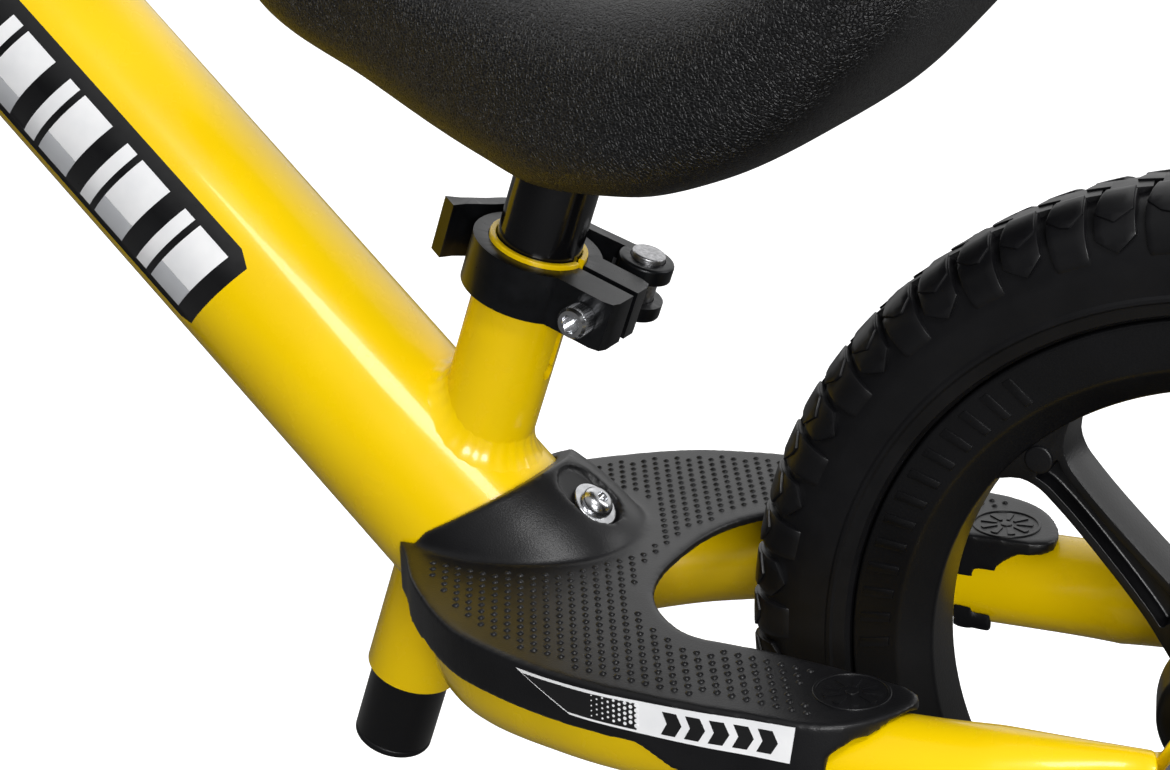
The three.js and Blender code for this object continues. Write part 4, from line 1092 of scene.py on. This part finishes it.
def footrestMesh():
    look = footLook
    body = prism(deckLine(), -40, look["top"])
    side = turned(prism(look["skirt"], -120, 120), Matrix.Rotation(math.pi / 2, 4, "X"))
    modify(body, "BOOLEAN", object=side, operation="INTERSECT", solver="EXACT")
    discard(side)
    carve(body, prism(deckLine(look["wall"]), -50, look["top"] - look["thick"]))
    bulge = moved(lathe([look["hood"][0]] + rounded(look["hood"], 3.0)[1:], 128), -2)
    lean = Matrix.Translation((0, 0, -6)) @ Matrix.Rotation(math.radians(look["hoodLean"]), 4, "Y")
    slant = turned(brick(-80, 80, -60, 60, 0, 60), lean)
    carve(bulge, slant)
    hood = inLocal(bulge, mainFrame, rearFrame)
    above = brick(177.5, 317.5, -60, 60, look["top"] - 3, 60)
    modify(hood, "BOOLEAN", object=above, operation="INTERSECT", solver="EXACT")
    discard(above)
    modify(body, "BOOLEAN", object=hood, operation="UNION", solver="EXACT")
    discard(hood)
    at = look["screwAlong"]
    recess = pointsUp(rod(9, 37.4, 60, 0.01, 64), at)
    recessTop = pointsUp(rod(9, 37.4, 60, 0.01, 64), at + 7)
    recessWay = brick(-60, -37.4, -9, 9, at, at + 7)
    screwWay = pointsUp(rod(2.9, 25, 60, 0.01, 32), at)
    tubeRoom = rod(31.9, -78, 60, 0.01, 128)
    onMain = [inLocal(t, mainFrame, rearFrame) for t in (recess, recessTop, recessWay, screwWay, tubeRoom)]
    seatRoom = inLocal(rod(19.4, -80, 140, 0.01, 96), seatFrame, rearFrame)
    openBelow = brick(106, 205, -57, 57, -59, look["top"] - look["thick"])
    carve(body, *onMain, seatRoom, openBelow)
    for hand in (1, -1):
        path = smoothPath([(x, hand * y, z) for x, y, z in stayPath], 6)
        tube = sweep(path, lambda t: frameLook["stayR"] + 1.0, 40)
        carve(body, moved(tube, 277.5))
    modify(body, "REMESH", mode="VOXEL", voxel_size=look["voxel"])
    return modify(body, "SMOOTH", factor=0.5, iterations=look["smoothing"])


def insideDeck(x, y, loop):
    inside = False
    for (x0, y0), (x1, y1) in zip(loop, loop[1:] + loop[:1]):
        if (y0 > y) != (y1 > y) and x < x0 + (x1 - x0) * (y - y0) / (y1 - y0):
            inside = not inside
    return inside


def bumpSpots():
    look, loop = footLook, deckLine(footLook["border"])
    hoodTable = [(z, r) for r, z in look["hood"][1:-1]]
    spots = []
    step = look["bumpStep"]
    for i in range(36):
        for j in range(-26, 27):
            x, y = 84 + step * i + (step / 2 if j % 2 else 0), j * step * 0.86
            if not insideDeck(x, y, loop):
                continue
            if math.hypot(x - look["discX"], abs(y) - look["discY"]) < look["discR"] + 3.5:
                continue
            local = mainFrame.inverted() @ (rearFrame @ Vector((x, y, look["top"])))
            if math.hypot(local.x + 2, local.y) < between(hoodTable, local.z) + 4.5 and local.z > -66:
                continue
            spots.append((x, y, look["top"] - 0.12))
    return spots


def endDisc(side):
    look = footLook
    band = pipe(look["discR"], look["discR"] - 0.9, look["top"] - 1, look["top"] + 0.45, 0.25, 64)
    ray = prism([(3.2, -0.5), (8.2, -1.2), (8.6, 0), (8.2, 1.2), (3.2, 0.5)], look["top"] - 1, look["top"] + 0.4)
    rays = repeated(ray, [(0, 0, 0)] * 9, (0, 0, 2 * math.pi / 9))
    middle = rod(1.8, look["top"] - 1, look["top"] + 0.4, 0.2, 32)
    return moved(joined(band, rays, middle), look["discX"], side * look["discY"])


piece(footrestMesh(), "footrest", "frame", "black_nylon", rearFrame, ["footrest"], 60)
dome = lathe([(0, footLook["bumpRise"]), (footLook["bumpR"] * 0.55, footLook["bumpRise"] * 0.82),
              (footLook["bumpR"], 0.05), (footLook["bumpR"] + 0.1, -0.4)], 10)
bumps = repeated(dome, bumpSpots(), change=0.04)
piece(joined(bumps, endDisc(1), endDisc(-1)), "footrestGrip", "frame", "black_nylon", rearFrame, angle=50)
washer = pointsUp(pipe(8, 3.2, 37.7, 39, 0.35, 96), footLook["screwAlong"])
piece(washer, "footrestWasher", "frame", "zinc_steel", mainFrame, ["footrest_washer"], 30)
screwHead = lathe([(0, 38.6), (5.6, 38.6), (5.6, 39.8), (5.2, 41), (4.2, 42.2), (2.9, 42.8),
                   (1.9, 42.9), (1.9, 41.2), (0, 41.0)], 64)
screw = pointsUp(joined(screwHead, rod(2.6, 24, 40, 0.2, 32)), footLook["screwAlong"])
piece(screw, "footrestScrew", "frame", "zinc_steel", mainFrame, ["footrest_screw"], 30)
print("footrest ready")


# ---------- printed labels: plain bars and chevrons ----------

def printedFilm(name, dark, light, rough):
    # screen print on vinyl film: flat colour under a thin clear layer
    material, shader, where = startMaterial(name, Coat_Weight=0.5, Coat_Roughness=0.1)
    tintBetween(material, shader, noise(material, where, 12), dark, light)
    roughBetween(material, shader, noise(material, where, 3), rough * 0.8, rough * 1.2)
    return material


whiteFilm = printedFilm("whitePrintedVinyl", "#E9EAEC", "#F4F4F5", 0.35)
# grey film used as painted shade: the lower part of each white tube-label bar is drawn darker where the tube turns
# downward, away from the light
paintedShadeFilm = printedFilm("greyPrintedVinyl", "#BFC1C5", "#C9CBCE", 0.35)
blackFilm = printedFilm("blackPrintedVinyl", "#0B0B0D", "#111113", 0.3)
skirtLabel = {"dotColumns": 9, "chevrons": 5, "chevronPitch": 6.9}
tubeLabel = {"pitch": 29.0, "bars": 8}


def onSkirt(x, z, lift):
    table = sorted(footLook["outer"][4:14])
    y, slope = smoothly(table, x), (smoothly(table, x + 1) - smoothly(table, x - 1)) / 2
    length = math.hypot(1, slope)
    return (x - slope / length * lift, y + lift / length, z)


def onTube(along, around, lift):
    r = mainTube["radius"] + lift
    a = around / mainTube["radius"]
    return (-r * math.sin(a), r * math.cos(a) * narrowing(along), along)


def labelLayers(place, layers, step=3.0):
    made = []
    for outline, low, high in layers:
        made.append(wrapped(outline, low, high, place, step))
    return joined(*made)


def bothSides(obj, name, material, at):
    other = turned(twin(obj), Matrix.Scale(-1, 4, (0, 1, 0)))
    piece(joined(obj, other), name, "frame", None, at, material=material)


whites = [([(186.5, 4.4), (167.5, -4.6), (101.5, -5.8), (100, 5.4)], -0.2, 0.12)]
for column in range(skirtLabel["dotColumns"]):
    size = 0.22 + 0.055 * column
    for row in range(5):
        cx, cz = 160 - 1.75 * column, -2.9 + 1.6 * row + (0.8 if column % 2 else 0)
        dot = [(cx + size * math.cos(k * math.pi / 4), cz + size * math.sin(k * math.pi / 4)) for k in range(8)]
        whites.append((dot, 0.1, 0.26))
blacks = [([(184.2, 3.6), (168, -3.9), (146, -4.2), (146, 4.0)], 0.05, 0.2)]
for k in range(skirtLabel["chevrons"]):
    x = 136 - skirtLabel["chevronPitch"] * k
    chevron = [(x + 2.2, 3.2), (x - 2.0, 3.2), (x - 3.6, -0.3), (x - 1.6, -3.9), (x + 2.6, -3.9), (x + 0.8, -0.3)]
    blacks.append((chevron, 0.05, 0.2))
bothSides(labelLayers(onSkirt, whites), "skirtLabelWhite", whiteFilm, rearFrame)
bothSides(labelLayers(onSkirt, blacks), "skirtLabelBlack", blackFilm, rearFrame)

backing = [(94, 18), (97, -15), (102, -17.5), (330, -17.5), (330, 20), (100, 21)]
fills, paintedShadeBands = [], []
for k in range(tubeLabel["bars"]):
    x = 101 + tubeLabel["pitch"] * k
    fills.append(([(x + 2, -3), (x + 16, -3), (x + 14, 16), (x, 16)], 0.05, 0.22))
    # under each white bar, a grey band of painted shade on the tube's lower side
    paintedShadeBands.append(([(x + 3, -13), (x + 17, -13), (x + 16, -3.2), (x + 2, -3.2)], 0.05, 0.22))
    fills.append(([(x + 19.5, -13), (x + 24.5, -13), (x + 21.5, 16), (x + 16.5, 16)], 0.05, 0.22))
bothSides(labelLayers(onTube, [(backing, -0.3, 0.1)], 4.0), "tubeLabelBlack", blackFilm, mainFrame)
bothSides(labelLayers(onTube, fills, 4.0), "tubeLabelWhite", whiteFilm, mainFrame)
# the grey bands are painted shade, not a printed colour
bothSides(labelLayers(onTube, paintedShadeBands, 4.0), "tubeLabelGrey", paintedShadeFilm, mainFrame)
print("labels ready")




# ---------- floor, light and camera ----------

floorMesh = brick(-30000, 30000, -30000, 30000, -20, 0)
turned(floorMesh, Matrix.Scale(mm, 4))
floorMesh.name = "floor"
floorPaint, floorShader, _ = startMaterial("palePaperFloor", Roughness=0.9)
floorShader.inputs["Emission Color"].default_value = (1, 1, 1, 1)
floorSeen = addNode(floorPaint, "ShaderNodeLightPath")
tintBetween(floorPaint, floorShader, floorSeen.outputs["Is Camera Ray"], "#5C5C5C", "#FFFFFF")
plug(floorPaint, addNode(floorPaint, "ShaderNodeMath", {"operation": "MULTIPLY", 1: 0.6},
                         i0=floorSeen.outputs["Is Camera Ray"]).outputs[0], floorShader.inputs["Emission Strength"])
floorMesh.data.materials.append(floorPaint)

world = bpy.data.worlds.new("studio")
world.use_nodes = True
bikeScene.world = world
studioLight = {
    "zenith": 0.4, "horizon": 0.02,  # radiance overhead and at eye level on the camera's side
    "farWall": 0.9,  # added by the white wall beyond the bike
    "seen": 1.0,  # the wall as the camera sees it
}
lookYaw, lookPitch, lookRoll = -1.0629, -0.35, -0.0212  # radians


def wireWorld():
    tree = world.node_tree
    make, wire = tree.nodes.new, tree.links.new
    sky, seen = tree.nodes["Background"], make("ShaderNodeBackground")
    where, apart, rise = make("ShaderNodeTexCoord"), make("ShaderNodeSeparateXYZ"), make("ShaderNodeMapRange")
    ray, mix = make("ShaderNodeLightPath"), make("ShaderNodeMixShader")
    sky.inputs["Color"].default_value = seen.inputs["Color"].default_value = (1, 1, 1, 1)
    seen.inputs["Strength"].default_value = studioLight["seen"]
    rise.interpolation_type = "SMOOTHSTEP"
    rise.inputs["From Min"].default_value, rise.inputs["From Max"].default_value = 0.0, 0.75
    rise.inputs["To Min"].default_value = studioLight["horizon"]
    rise.inputs["To Max"].default_value = studioLight["zenith"]
    wire(where.outputs["Generated"], apart.inputs[0])
    wire(apart.outputs["Z"], rise.inputs["Value"])
    facing, wall, total = make("ShaderNodeVectorMath"), make("ShaderNodeMapRange"), make("ShaderNodeMath")
    facing.operation = "DOT_PRODUCT"
    facing.inputs[1].default_value = (math.cos(lookYaw), math.sin(lookYaw), 0)
    wall.interpolation_type = "SMOOTHSTEP"
    wall.inputs["From Min"].default_value, wall.inputs["From Max"].default_value = 0.15, 0.7
    wall.inputs["To Min"].default_value, wall.inputs["To Max"].default_value = 0, studioLight["farWall"]
    wire(where.outputs["Generated"], facing.inputs[0])
    wire(facing.outputs["Value"], wall.inputs["Value"])
    wire(rise.outputs["Result"], total.inputs[0])
    wire(wall.outputs["Result"], total.inputs[1])
    wire(total.outputs[0], sky.inputs["Strength"])
    wire(ray.outputs["Is Camera Ray"], mix.inputs[0])
    wire(sky.outputs[0], mix.inputs[1])
    wire(seen.outputs[0], mix.inputs[2])
    wire(mix.outputs[0], tree.nodes["World Output"].inputs["Surface"])


wireWorld()
bikeScene.view_settings.view_transform = "Standard"


def softbox(name, place, aim, size, watts):
    lamp = bpy.data.lights.new(name, "AREA")
    lamp.shape = "RECTANGLE"
    lamp.size, lamp.size_y, lamp.energy = size[0], size[1], watts
    holder = bpy.data.objects.new(name, lamp)
    bikeScene.collection.objects.link(holder)
    holder.location = place
    holder.rotation_mode = "QUATERNION"
    holder.rotation_quaternion = (Vector(aim) - Vector(place)).to_track_quat("-Z", "Y")


softbox("keyBox", (-0.9, 0.7, 1.5), (-0.27, 0, 0.2), (0.7, 0.35), 12)
softbox("frontBox", (-1.0, 1.3, 0.6), (-0.2, 0, 0.2), (0.6, 0.4), 18)
softbox("rimBox", (-1.3, -0.9, 0.9), (-0.27, 0, 0.2), (0.3, 1.0), 5)

camera = bpy.data.objects.new("camera", bpy.data.cameras.new("camera"))
bikeScene.collection.objects.link(camera)
level = math.cos(lookPitch)
ahead = Vector((level * math.cos(lookYaw), level * math.sin(lookYaw), math.sin(lookPitch)))
flatRight = ahead.cross(Vector((0, 0, 1))).normalized()
flatUp = flatRight.cross(ahead)
cameraRight = flatRight * math.cos(lookRoll) + flatUp * math.sin(lookRoll)
cameraUp = flatUp * math.cos(lookRoll) - flatRight * math.sin(lookRoll)
camera.matrix_world = (Matrix.Translation(rearHub + Vector((-0.1222, 0.5999, 0.3076)))
                       @ Matrix((cameraRight, cameraUp, -ahead)).transposed().to_4x4())
camera.data.lens = 71.43
camera.data.sensor_width = 36
camera.data.clip_start = 0.02
bikeScene.camera = camera
